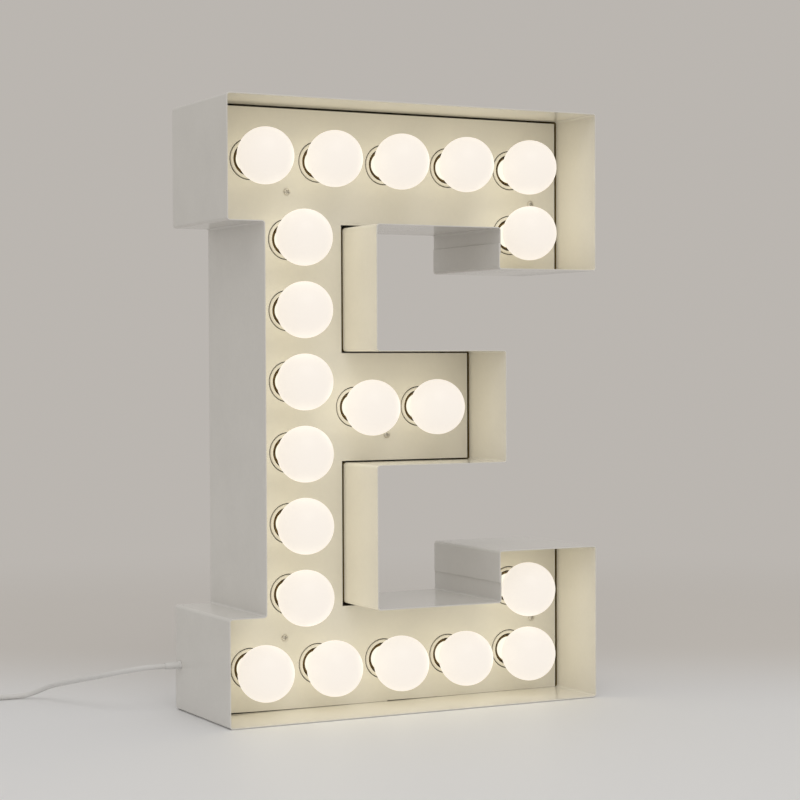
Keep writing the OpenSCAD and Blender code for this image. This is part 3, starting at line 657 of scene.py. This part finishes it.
set_out, given = new_tree("set_out", Piece="Object", Turn="Float", Seed="Int")
single = step(set_out, "GeometryNodeObjectInfo", Object=given["Piece"],
              As_Instance=True)["Geometry"]
chance = step(set_out, "FunctionNodeRandomValue", {"data_type": "FLOAT"}, Max=given["Turn"],
              Seed=given["Seed"])["Value"]
copies = geo(set_out, "InstanceOnPoints", Points=given["Geometry"], Instance=single,
             Rotation=about_depth(set_out, chance))
end_tree(set_out, copies, given["Material"])


def set_on(mesh, places, material, turn=0.0, seed=0):
    """One mesh with a copy of the given one on every place."""
    model = in_scene("model", mesh)
    made = grown(set_out, mesh_from(places, []), material, Piece=model, Turn=turn, Seed=seed)
    bpy.data.objects.remove(model)
    return made


# %% [markdown]
# ### Cut-outs
# A slot, a switch's window and the cross in a screw's head are all a box taken out of a solid. One
# tree makes the box from its size, place and turn, and subtracts it.

# %% Tree for cut-outs
box_cut, given = new_tree("box_cut", Size="Vector", Place="Vector", Turn="Float")
tool = geo(box_cut, "Transform", Geometry=geo(box_cut, "MeshCube", Size=given["Size"]),
           Translation=given["Place"], Rotation=about_depth(box_cut, given["Turn"]))
rest = geo(box_cut, "MeshBoolean", {"operation": "DIFFERENCE", "solver": "EXACT"},
           Mesh_1=given["Geometry"], Mesh_2=tool)
end_tree(box_cut, rest, given["Material"])


def cut(mesh, material, size, place, turn=0.0):
    """Takes a box out of a mesh, with its size and place in mm."""
    return grown(box_cut, mesh, material, Size=tuple(v * MM for v in size),
                 Place=tuple(v * MM for v in place), Turn=turn)


# %% [markdown]
# ## Panels
# The face panel is one sheet with a hole for every lampholder and every screw. Its tree takes the
# sheet's outline as a line and the holes as loose points that carry their own radius: it sets a
# circle on each point, fills what lies between the lines and thickens it. The dark line round the
# panel is a real gap that shows the unlit hollow behind it. It is not the same all round: the sheet
# looks cut by hand, and its bottom edge, in two cuts, nearly touches. The back panel is a plain
# plate with the outline of the folded strips. A small bevel rounds all cut edges.

# %% Tree for a perforated sheet
NO_HOLE = 0.0001
perforated, given = new_tree("perforated", Thickness="Float", Sides="Int")
border = geo(perforated, "MeshToCurve", Mesh=given["Geometry"])
reach = geo(perforated, "InputNamedAttribute", {"data_type": "FLOAT"}, Name="hole")
ring = geo(perforated, "CurvePrimitiveCircle", Resolution=given["Sides"], Radius=1.0)
holes = geo(perforated, "InstanceOnPoints", Points=given["Geometry"], Instance=ring,
            Selection=maths(perforated, "GREATER_THAN", reach, NO_HOLE), Scale=reach)
rings = geo(perforated, "RealizeInstances", Geometry=holes)
lines = geo(perforated, "JoinGeometry", Geometry=[border, rings])
sheet = geo(perforated, "FillCurve", {"mode": "NGONS"}, Curve=lines)
thick = geo(perforated, "ExtrudeMesh", Mesh=sheet, Offset_Scale=given["Thickness"],
            Individual=False)
under = geo(perforated, "FlipFaces", Mesh=sheet)
end_tree(perforated, geo(perforated, "JoinGeometry", Geometry=[thick, under]), given["Material"])

# %% [markdown]
# The gaps round the panel look a dark warm brown in the bulbs' light. Behind the panel the inner
# paint turns to that brown, switched by depth: painted warm shade in the hollow, which is simpler
# than one more material and follows every bend.

# %% Painted shade behind the panel
# A dark warm brown that stands for the shade and bounced bulb light in the hollow behind the panel.
GAP_SHADE_COLOR = (0.32, 0.235, 0.09, 1)


def blend(tree, share, one, other):
    """A colour between two others, by a share from 0 to 1."""
    return step(tree, "ShaderNodeMix", {"data_type": "RGBA"}, Factor=share, A=one,
                B=other)["Result"]


tree = warm_lit_paint.node_tree
handled = next(n for n in tree.nodes if n.type == "GROUP" and n.node_tree == soil)
where = next(n for n in tree.nodes if n.type == "TEX_COORD").outputs["Object"]
shaded_depth_mask = maths(tree, "GREATER_THAN", step(tree, "ShaderNodeSeparateXYZ", Vector=where)["Y"],
             at(0, FACE_Y + SHEET_T, 0).y)
warm_lit_coat = tuple(handled.inputs["Color"].default_value)
fill(tree, handled.inputs["Color"], blend(tree, shaded_depth_mask, warm_lit_coat, GAP_SHADE_COLOR))
print("gap_shade from depth", FACE_Y + SHEET_T, "mm")

# %% Face panel
REVEAL, TOP_REVEAL, STEM_REVEAL, RIGHT_REVEAL, MID_REVEAL = 2.8, 2.2, 2.4, 3.2, 1.6
BOTTOM_CUTS = [(0, 2.5), (30, 1.7), (60, 1.0), (120, 0.5), (221, 0.15), (222, 0.95), (290, 0.25),
               (LETTER_W, 0.15)]
HOLE_R, HOLE_SIDES, SCREW_HOLE_R, PANEL_EDGE = 22, 72, 2.25, 0.2
BULB_COUNT = 20
BULB_NAMES = ["bulb_%02d" % (k + 1) for k in range(BULB_COUNT)]
BULBS = []
for name in BULB_NAMES:
    low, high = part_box(name + "_globe")
    BULBS.append(Vector((
        (low.x + high.x) / 2, (FACE_Y - LETTER_D / 2) * MM, (low.z + high.z) / 2)))
SCREW_PLACES = ((103, 558), (406.5, 554), (222, 295.5), (98, 79), (406.5, 83))
SCREWS = [at(x, FACE_Y, z) for x, z in SCREW_PLACES]


def loop_corners(i):
    """The letter's closed outline, i inside the outer face of its sheet."""
    right_side = outer_corners(i)[2:12]
    bays = inner_corners(i)[1:9]
    return right_side + [(SERIF_X + i, SERIF_TOP - i)] + bays + [(SERIF_X + i, SERIF_LOW + i)]


def panel_corners():
    """The panel's outline: each side stands its own gap off the folded sheet."""
    inset = SHEET_T + REVEAL
    edge = LETTER_W - inset
    new_x = {x - inset: x - SHEET_T - gap for x, gap in (
        (LETTER_W, RIGHT_REVEAL), (STEM_R, STEM_REVEAL), (MID_X, RIGHT_REVEAL))}
    new_z = {LETTER_H - inset: LETTER_H - SHEET_T - TOP_REVEAL,
             MID_LOW + inset: MID_LOW + SHEET_T + MID_REVEAL,
             MID_TOP - inset: MID_TOP - SHEET_T - MID_REVEAL}
    outline = loop_corners(inset)
    first = outline.index((inset, inset))
    outline[first:first + 2] = [(min(max(x, inset), edge), SHEET_T + gap) for x, gap in BOTTOM_CUTS]
    return [(new_x.get(x, x), new_z.get(z, z)) for x, z in outline]


border = [at(x, FACE_Y, z) for x, z in panel_corners()]
start = mesh_from([(p.x, p.z, 0) for p in border + BULBS + SCREWS], [],
                  [(k, (k + 1) % len(border)) for k in range(len(border))])
hole_radii = [0.0] * len(border) + [HOLE_R * MM] * len(BULBS) + [SCREW_HOLE_R * MM] * len(SCREWS)
start.attributes.new("hole", "FLOAT", "POINT").data.foreach_set("value", hole_radii)
panel = grown(perforated, start, face_paint, Thickness=SHEET_T * MM, Sides=HOLE_SIDES)
stood_up = Matrix.Rotation(math.pi / 2, 4, "X")
panel.transform(Matrix.Translation((0, at(0, FACE_Y + SHEET_T, 0).y, 0)) @ stood_up)
piece("face_sheet", bevelled(tidy(panel), PANEL_EDGE), [face_paint], "face_panel",
      smooth=SHEET_SMOOTH)
print("face panel:", len(panel.polygons), "faces")


# %% Back panel
def plate(outline, front, back, edge):
    """A flat plate between two depths, from an outline of model points seen from the front."""
    work = bmesh.new()
    face = work.faces.new([work.verts.new((p.x, front, p.z)) for p in outline])
    pushed = bmesh.ops.extrude_face_region(work, geom=[face], use_keep_orig=True)
    bmesh.ops.translate(work, vec=(0, back - front, 0),
                        verts=[v for v in pushed["geom"] if isinstance(v, bmesh.types.BMVert)])
    bmesh.ops.recalc_face_normals(work, faces=work.faces)
    return bevelled(new_mesh(work), edge)


def closed_loop(i):
    corners = loop_corners(i)
    return [corners[-1]] + corners + [corners[0]]


edge_line = [at(p.x, 0, p.y) for p in rounded(closed_loop, 0)[1:-1]]
back = plate(edge_line, at(0, BACK_Y, 0).y, at(0, LETTER_D, 0).y, CUT_EDGE)
piece("back_sheet", back, [outer_paint], "back_panel", smooth=SHEET_SMOOTH)
print("back panel:", len(back.polygons), "faces")

# %% [markdown]
# ## Lampholders and screws
# A lampholder is a moulded plastic cup. Its rounded rim stands a little proud of the panel round
# each bulb's neck, a wider body sits behind, and a square block at its rear takes the wires. The
# cup is a turned line, and one tree sets twenty of them on the bulbs' places. The face screws are
# turned too, with a cross cut into their heads.

# %% Lampholders
CUP = [(0, 36.85), (15.56, 36.85), (22.5, 27.85), (22.5, 5.2), (21, 5.2), (21, -1), (17.7, -1),
       (17.7, 30.85), (0, 30.85)]
CUP_STEPS, CUP_EDGE = 64, 0.6
BLOCK_SIZE, BLOCK_MIDDLE, BLOCK_EDGE = (22, 10, 22), (0, 41.85, 0), 0.5


def box_mesh(size, middle):
    """A box of a size in mm about a middle in mm."""
    work = bmesh.new()
    bmesh.ops.create_cube(work, size=1)
    for v in work.verts:
        v.co = Vector(v.co[k] * size[k] + middle[k] for k in range(3)) * MM
    return new_mesh(work)


def joined(*meshes):
    """One mesh from several, each with the material slot of its place in the list."""
    work = bmesh.new()
    done = 0
    for slot, mesh in enumerate(meshes):
        work.from_mesh(mesh)
        work.faces.ensure_lookup_table()
        for face in work.faces[done:]:
            face.material_index = slot
        done = len(work.faces)
    return new_mesh(work)


block = bevelled(box_mesh(BLOCK_SIZE, BLOCK_MIDDLE), BLOCK_EDGE)
holder = joined(spun(CUP, holder_plastic, CUP_STEPS, CUP_EDGE), block)
for face in holder.polygons:
    face.material_index = 0
holders = set_on(holder, BULBS, holder_plastic)
piece("holder_cups", holders, [holder_plastic], "holder_bodies")
print("lampholders:", len(holders.polygons), "faces")

# %% Face screws
HEAD_R, HEAD_H, RIM_H, SHANK_R, SHANK_L = 3.7, 2.4, 0.7, 2.0, 12
POINT_L, POINT_IN, DOME_STEPS, SCREW_STEPS, SCREW_EDGE = 1, 0.8, 8, 40, 0.15
CROSS_SIZE, SCREW_SEED = (4.4, 2.8, 0.95), 7
DOME = [(HEAD_R * math.sin(a), -RIM_H - (HEAD_H - RIM_H) * math.cos(a))
        for a in (math.pi / 2 * k / DOME_STEPS for k in range(DOME_STEPS + 1))]
SCREW = DOME + [(HEAD_R, 0), (SHANK_R, 0), (SHANK_R, SHANK_L - POINT_L),
                (SHANK_R - POINT_IN, SHANK_L), (0, SHANK_L)]
screw = spun(SCREW, steel, SCREW_STEPS, SCREW_EDGE)
for quarter in (1, 3):
    screw = cut(screw, steel, CROSS_SIZE, (0, -HEAD_H, 0), math.pi / 4 * quarter)
screws = set_on(screw, SCREWS, steel, turn=2 * math.pi, seed=SCREW_SEED)
piece("cross_screws", screws, [steel], "face_screws")
print("screws:", len(screws.polygons), "faces")

# %% [markdown]
# ## Bulbs
# Each bulb is an opal glass globe with a hollow neck, cemented into a threaded metal cap. The globe
# is an outline turned about its axis: a sphere, a fillet and a neck. Lit opal glass shows no
# filament. Its whole skin glows, a little less at the back of the ball and most of all in the neck
# near the light inside, so the skin itself gives off light. To the camera its colour stays below
# white, as a short exposure shows it, while the light that reaches the panel is set by itself, in
# the warm tone that the panel shows. The inside of the glass is plain, because nothing sees it.

# %% Opal glass
BULB_R, NECK_R, BULB_OUT, FILLET, GLASS_T, NECK_END = 30, 13.8, 44.5, 12, 1.2, 2
BALL_STEPS, FILLET_STEPS, GLOBE_STEPS = 28, 10, 72
SEEN_FRONT, SEEN_BACK = (0.80, 0.735, 0.665, 1), (0.69, 0.635, 0.55, 1)
SEEN_NECK, LIGHT_SENT = (0.96, 0.91, 0.77, 1), (1.10, 1.02, 0.80, 1)
DIM_START, DIM_END, NECK_START = (at(0, FACE_Y - BULB_OUT + d, 0).y for d in (6, 16, 25))
GLASS, UNEVEN, CLOUD_SCALE, CLOUD_LOW, CLOUD_HIGH = (0.2, 0.195, 0.185, 1), 0.03, 26.0, 0.3, 0.7


def globe_outline(i):
    """Half section from the front pole to the neck's end, i inside the glass."""
    fillet_x = NECK_R + FILLET
    run = math.sqrt((BULB_R + FILLET) ** 2 - fillet_x ** 2)
    meet = math.atan2(fillet_x, run)
    out = []
    for k in range(BALL_STEPS + 1):
        a = (math.pi - meet) * k / BALL_STEPS
        out.append(((BULB_R - i) * math.sin(a), -BULB_OUT - (BULB_R - i) * math.cos(a)))
    for k in range(1, FILLET_STEPS + 1):
        a = meet + (math.pi / 2 - meet) * k / FILLET_STEPS
        out.append((fillet_x - (FILLET + i) * math.sin(a),
                    run - BULB_OUT - (FILLET + i) * math.cos(a)))
    return out + [(NECK_R - i, NECK_END)]


opal, tree, shader, where = new_material("opal_glass")
depth = step(tree, "ShaderNodeSeparateXYZ", Vector=where)["Y"]
clouds = noise(tree, where, CLOUD_SCALE, detail=2.0)
uneven = spread(tree, clouds, CLOUD_LOW, CLOUD_HIGH, -UNEVEN, UNEVEN)
inward = maths(tree, "ADD", spread(tree, depth, DIM_START, DIM_END), uneven)
ball = blend(tree, inward, SEEN_FRONT, SEEN_BACK)
glow = blend(tree, spread(tree, depth, DIM_END, NECK_START), ball, SEEN_NECK)
to_camera = step(tree, "ShaderNodeLightPath")["Is Camera Ray"]
feed(tree, shader, Base_Color=GLASS, Roughness=0.35, Specular_IOR_Level=0.2,
     Emission_Strength=1.0, Emission_Color=blend(tree, to_camera, LIGHT_SENT, glow))
glass_inside = finish("glass_inside", (0.8, 0.78, 0.74), 0.3, (40, 0.00002), smudge=0.02)
print("glass:", opal.name, glass_inside.name)


# %% Globes on their bodies
def on_bulbs(mesh, title, materials, half):
    """Puts a copy of a mesh on every bulb, for its globe or its cap."""
    for name, middle in zip(BULB_NAMES, BULBS):
        copy = mesh.copy()
        copy.transform(Matrix.Translation(middle))
        piece(name + title, copy, materials, name + half, name + half)
    print(title, len(BULBS), "with", len(mesh.polygons), "faces each")


skin_line, inside_line = globe_outline(0), globe_outline(GLASS_T)
inside = lathe(inside_line, GLOBE_STEPS)
inside.flip_normals()
lip = lathe([skin_line[-1], inside_line[-1]], GLOBE_STEPS)
globe = tidy(joined(lathe(skin_line, GLOBE_STEPS), inside, lip))
on_bulbs(globe, "_opal", [opal, glass_inside, glass_inside], "_globe")

# %% [markdown]
# ### Screw caps
# A cap's thread is a rule: the radius follows a wave that climbs one pitch in each turn. The tree
# lays a grid round the axis and moves its points by that rule, with the thread running out at both
# ends. The CAD solid has plain rings there, so this is the true helix, right-handed, as a bulb goes
# in clockwise. The collar, the dark insulator and the soldered tip are turned lines.

# %% Tree for a thread
RUNOUT = 0.12
thread, given = new_tree("thread", Root="Float", Height="Float", Pitch="Float", Start="Float",
                         Length="Float", Steps="Int", Rows="Int")
grid, row, angle = round_grid(thread, given["Steps"], maths(thread, "ADD", given["Rows"], 1))
along = maths(thread, "DIVIDE", row, given["Rows"])
depth = maths(thread, "ADD", given["Start"], maths(thread, "MULTIPLY", along, given["Length"]))
turns = maths(thread, "DIVIDE", depth, given["Pitch"])
phase = maths(thread, "ADD", maths(thread, "MULTIPLY", turns, 2 * math.pi), angle)
crest = maths(thread, "SUBTRACT", 1.0, maths(thread, "COSINE", phase))
to_end = maths(thread, "MINIMUM", along, maths(thread, "SUBTRACT", 1.0, along))
runout = spread(thread, to_end, 0.0, RUNOUT, 0.0, 0.5)
swell = maths(thread, "MULTIPLY", maths(thread, "MULTIPLY", crest, runout), given["Height"])
radius = maths(thread, "ADD", given["Root"], swell)
end_tree(thread, bend_grid(thread, grid, radius, depth, angle), given["Material"])

# %% Caps on their bodies
THREAD_R, THREAD_H, THREAD_PITCH, THREAD_START, THREAD_TURNS = 13.1, 1.0, 3.63, 4.7, 5
CAP_START, CAP_R, CAP_STEPS, THREAD_ROWS = 2.3, 13.8, 60, 60
ROOT_R, THREAD_END = THREAD_R - THREAD_H, THREAD_START + THREAD_TURNS * THREAD_PITCH
COLLAR = [(0, CAP_START), (13.5, CAP_START), (CAP_R, CAP_START + 0.3), (CAP_R, 3.3), (13.5, 3.7),
          (ROOT_R, THREAD_START)]
INSULATOR = [(ROOT_R, THREAD_END), (11.6, THREAD_END + 0.9), (8.6, 25.4), (6.2, 26.3),
             (4.75, 26.45)]
TIP = [INSULATOR[-1], (4.7, 27.1), (4.1, 27.65), (2.6, 27.9), (0, 27.95)]
winding = grown(thread, mesh_from([], []), cap_metal, Root=ROOT_R * MM, Height=THREAD_H * MM,
                Pitch=THREAD_PITCH * MM, Start=THREAD_START * MM,
                Length=(THREAD_END - THREAD_START) * MM, Steps=CAP_STEPS, Rows=THREAD_ROWS)
vitrite = finish("vitrite", (0.03, 0.03, 0.034), 0.2, (40, 0.00002), smudge=0.15)
solder = finish("solder", (0.5, 0.49, 0.47), 0.4, (300, 0.0001), smudge=0.2, metallic=1.0)
collar, insulator, tip = (lathe(outline, CAP_STEPS) for outline in (COLLAR, INSULATOR, TIP))
cap = tidy(joined(collar, winding, insulator, tip))
on_bulbs(cap, "_screw", [cap_metal, cap_metal, vitrite, solder], "_cap")

# %% [markdown]
# ## Fittings on the cord
# The bush and the plug are turned from lines, with their corners rounded by the tree. The plug gets
# its earth-clip slots as cut-outs. The switch is lofted through rounded outlines: a moulded case
# has soft edges all round and a fine seam at half its height, and its rocker is a plate with a
# hollow top. The plug's pins and clips and the cable tie keep the solids' form with softened edges.

# %% Bush and plug
BUSH = [(2.85, 6), (2.85, -3.7), (3.8, -3.7), (5.5, -1.2), (3.8, -1.2), (3.8, 0), (4.5, 0),
        (4.5, 1.5), (3.9, 1.5), (3.5, 18), (2.85, 18), (2.85, 6)]
BUSH_STEPS, BUSH_EDGE, PLUG_STEPS, PLUG_EDGE, PLUG_L = 40, 0.3, 72, 1.2, 46
PLUG = [(0, 0), (4.6, 0), (5.98, -14), (10.15, -17), (14.5, -23), (14.5, -30), (PLUG_R, -36),
        (PLUG_R, 1 - PLUG_L), (PLUG_R - 1, -PLUG_L), (0, -PLUG_L)]
CLIP_SLOT = (12, 18, 5)
bush = spun(BUSH, cord_skin, BUSH_STEPS, BUSH_EDGE)
sideways = Matrix.Rotation(math.pi / 2, 4, "Z")
bush.transform(Matrix.Translation(at(0, EXIT_Y, ROUTE[0][2])) @ sideways)
bush = piece("cord_bush", bush, [cord_skin], "cord_gland")
plug = spun(PLUG, switch_plastic, PLUG_STEPS, PLUG_EDGE)
for side in (-1, 1):
    plug = cut(plug, switch_plastic, CLIP_SLOT, (0, -PLUG_L, side * PLUG_R))
plug.transform(Matrix.Translation(coil_route[-1]))
plug = piece("plug_moulding", plug, [switch_plastic], "plug_body")
print("bush and plug:", len(bush.data.polygons), len(plug.data.polygons), "faces")


# %% Switch
def round_rect(length, width, corner, inset):
    """Points round a rectangle with round corners, in mm, inset all round."""
    out = []
    for quarter, (sx, sy) in enumerate(((1, 1), (-1, 1), (-1, -1), (1, -1))):
        for k in range(CORNER_STEPS + 1):
            a = math.pi / 2 * (quarter + k / CORNER_STEPS)
            out.append((sx * (length / 2 - corner) + (corner - inset) * math.cos(a),
                        sy * (width / 2 - corner) + (corner - inset) * math.sin(a)))
    return out


CASE_W, CASE_H, CASE_R, CORNER_STEPS, WINDOW = 27, 20, 8, 8, (21.4, 10, 14)
LAYERS = [(0, 2.2), (0.35, 1.1), (1.0, 0.4), (2.2, 0), (9.75, 0), (9.85, 0.4), (10.15, 0.4),
          (10.25, 0), (17.6, 0), (18.9, 0.4), (19.6, 1.1), (CASE_H, 2.2)]
switch_at = at(ROUTE[-1][0] - SWITCH_LEN / 2, EXIT_Y + ROUTE[-1][1], 0)
work = bmesh.new()
layers = [[work.verts.new(Vector((x, y, z)) * MM)
           for x, y in round_rect(SWITCH_LEN, CASE_W, CASE_R, inset)] for z, inset in LAYERS]
for low_ring, high_ring in zip(layers, layers[1:]):
    for k in range(len(low_ring)):
        n = (k + 1) % len(low_ring)
        work.faces.new((low_ring[k], low_ring[n], high_ring[n], high_ring[k]))
work.faces.new(layers[0])
work.faces.new(layers[-1])
bmesh.ops.recalc_face_normals(work, faces=work.faces)
case = cut(new_mesh(work), switch_plastic, WINDOW, (0, 0, CASE_H))
case.transform(Matrix.Translation(switch_at))
case = piece("switch_shell", case, [switch_plastic], "switch_case")
print("switch:", len(case.data.polygons), "faces")

# %% Rocker
ROCKER_L, ROCKER_W, ROCKER_EDGE, PIVOT_Z, TILT = 19, 9.4, 0.35, 16, 8
TOP_MIDDLE, TOP_RISE, TOP_STEPS, SHOULDER, FOOT = 4.4, 1.6, 10, 1.5, 2.4
half = ROCKER_L / 2
hollow = [(half * f, TOP_MIDDLE + TOP_RISE * f * f)
          for f in (1 - k / TOP_STEPS for k in range(2 * TOP_STEPS + 1))]
PROFILE = hollow + [(-half, SHOULDER), (-FOOT, -FOOT), (FOOT, -FOOT), (half, SHOULDER)]
rocker = plate([Vector((x, 0, z)) * MM for x, z in PROFILE],
               -ROCKER_W / 2 * MM, ROCKER_W / 2 * MM, ROCKER_EDGE)
rocker.transform(Matrix.Translation(switch_at + Vector((0, 0, PIVOT_Z * MM)))
                 @ Matrix.Rotation(math.radians(TILT), 4, "Y"))
rocker = piece("rocker_key", rocker, [switch_plastic], "switch_rocker", "rocker")
print("rocker:", len(rocker.data.polygons), "faces")


# %% Softened solids
PIN_EDGE, TIE_EDGE, FLAT, SOFTEN_ABOVE = 0.3, 0.2, math.radians(2), 40


def softened(node, width):
    """A copy of a solid's mesh, its flat faces joined and its edges rounded."""
    def join_flat(work):
        bmesh.ops.dissolve_limit(work, angle_limit=FLAT, verts=work.verts, edges=work.edges)
    mesh = tidy(nodes[node].data.copy())
    return bevelled(reworked(mesh, join_flat), width, SOFTEN_ABOVE)


pins = piece("plug_pins", softened("plug_contacts", PIN_EDGE), [steel], "plug_contacts")
tie = piece("cable_tie", softened("coil_tie", TIE_EDGE), [tie_plastic], "coil_tie")
print("pins and tie:", len(pins.data.polygons), len(tie.data.polygons), "faces")

# %% [markdown]
# ## Hidden solids
# The standoffs, the collars behind the panel, the brass shells and contacts, the wires and the
# terminal block stay as the solids are. They hardly show, so a plain finish is enough. The collars
# take the black tie plastic as painted shade, so the ring round each lampholder reads dark.

# %% Finishes for the hidden solids
# The black collars are painted shade in the gaps round the lampholders.
HIDDEN = {"panel_standoffs": steel, "wiring_loom": cord_skin, "terminal_block": holder_plastic,
          "holder_collars": tie_plastic, "holder_shells": brass, "holder_contacts": brass}
for name, material in HIDDEN.items():
    mesh = nodes[name].data
    mesh.materials.clear()
    mesh.materials.append(material)
print("hidden solids dressed:", len(HIDDEN))

# %% [markdown]
# ## Floor, backdrop and light
# The photograph has a plain pale studio with no visible horizon. A flat floor that fades into the
# world's own grey some way behind the letter gives that look from every side, where a real curved
# backdrop would hide the letter from behind. The floor near the letter stays a plain diffuse
# surface, so that it keeps the shadow and the warm light of the bulbs. A wide soft lamp and an even
# world light the object.

# %% Floor
BACKDROP = (0.495, 0.467, 0.436, 1)
FLOOR_R, FLOOR_SIDES, FLOOR_DROP, FLOOR_ROUGHNESS = 9, 96, 0.0003, 0.55
DIM_FROM, DIM_TO, FADE_START, FADE_END = -0.1, 0.5, 0.9, 1.9
NEAR_FLOOR, SHADED_FAR_FLOOR = (0.81, 0.81, 0.815, 1), (0.68, 0.645, 0.605, 1)


def mix_to_surface(tree, share, one, other, end):
    """Mixes two shaders by a share, into the surface of a tree's last node."""
    join = tree.nodes.new("ShaderNodeMixShader")
    for socket, value in zip(join.inputs, (share, one, other)):
        tree.links.new(value, socket)
    tree.links.new(join.outputs["Shader"], tree.nodes[end].inputs["Surface"])


work = bmesh.new()
bmesh.ops.create_circle(work, cap_ends=True, radius=FLOOR_R, segments=FLOOR_SIDES)
floor_mesh = new_mesh(work)
floor_mesh.transform(Matrix.Translation((0, 0, -FLOOR_DROP)))
floor = in_scene("floor", floor_mesh)
floor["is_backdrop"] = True

pale, tree, shader, where = new_material("pale_floor")
behind = step(tree, "ShaderNodeVectorMath", {"operation": "DOT_PRODUCT"}, Vector=where)["Value"]
behind.node.inputs[1].default_value = (math.sin(yaw), math.cos(yaw), 0)
away = step(tree, "ShaderNodeVectorMath", {"operation": "LENGTH"}, Vector=where)["Value"]
# The floor's colour darkens behind the letter towards the world's grey: painted shade.
floor_shade = spread(tree, behind, DIM_FROM, DIM_TO, way="SMOOTHSTEP")
fade = spread(tree, away, FADE_START, FADE_END, way="SMOOTHSTEP")
near = feed(tree, shader, Base_Color=blend(tree, floor_shade, NEAR_FLOOR, SHADED_FAR_FLOOR),
            Roughness=FLOOR_ROUGHNESS)["BSDF"]
far = step(tree, "ShaderNodeEmission", Color=BACKDROP)["Emission"]
mix_to_surface(tree, fade, near, far, "Material Output")
floor_mesh.materials.append(pale)
print("floor:", FLOOR_R, "m in radius, fading from", FADE_START, "m")

# %% World and lamp
WORLD_COLOR, WORLD_STRENGTH = (1.0, 0.985, 0.965, 1), 0.62
LAMP_PLACE, LAMP_AIM = (-0.6, -2.2, 2.8), (0, 0, 0.3)
LAMP_SIZE, LAMP_POWER, LAMP_COLOR = 2.6, 26, (1.0, 0.985, 0.96)

scene.world = bpy.data.worlds.new("studio")
scene.world.use_nodes = True
tree = scene.world.node_tree
even = feed(tree, tree.nodes["Background"], Color=WORLD_COLOR,
            Strength=WORLD_STRENGTH)["Background"]
seen = step(tree, "ShaderNodeBackground", Color=BACKDROP)["Background"]
rays = step(tree, "ShaderNodeLightPath")
mirrored = maths(tree, "MAXIMUM", rays["Is Glossy Ray"], rays["Is Transmission Ray"])
shown = maths(tree, "MAXIMUM", rays["Is Camera Ray"], mirrored)
mix_to_surface(tree, shown, even, seen, "World Output")

lamp_data = bpy.data.lights.new("soft_lamp", "AREA")
lamp_data.shape = "DISK"
lamp_data.size, lamp_data.energy, lamp_data.color = LAMP_SIZE, LAMP_POWER, LAMP_COLOR
lamp = in_scene("soft_lamp", lamp_data)
lamp.location = LAMP_PLACE
lamp.rotation_mode = "QUATERNION"
lamp.rotation_quaternion = (Vector(LAMP_AIM) - lamp.location).to_track_quat("-Z", "Y")
print("world", WORLD_STRENGTH, "lamp", LAMP_POWER, "W")

# %% Finish
low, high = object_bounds()
print("visual box:", [round(v, 4) for v in high - low])
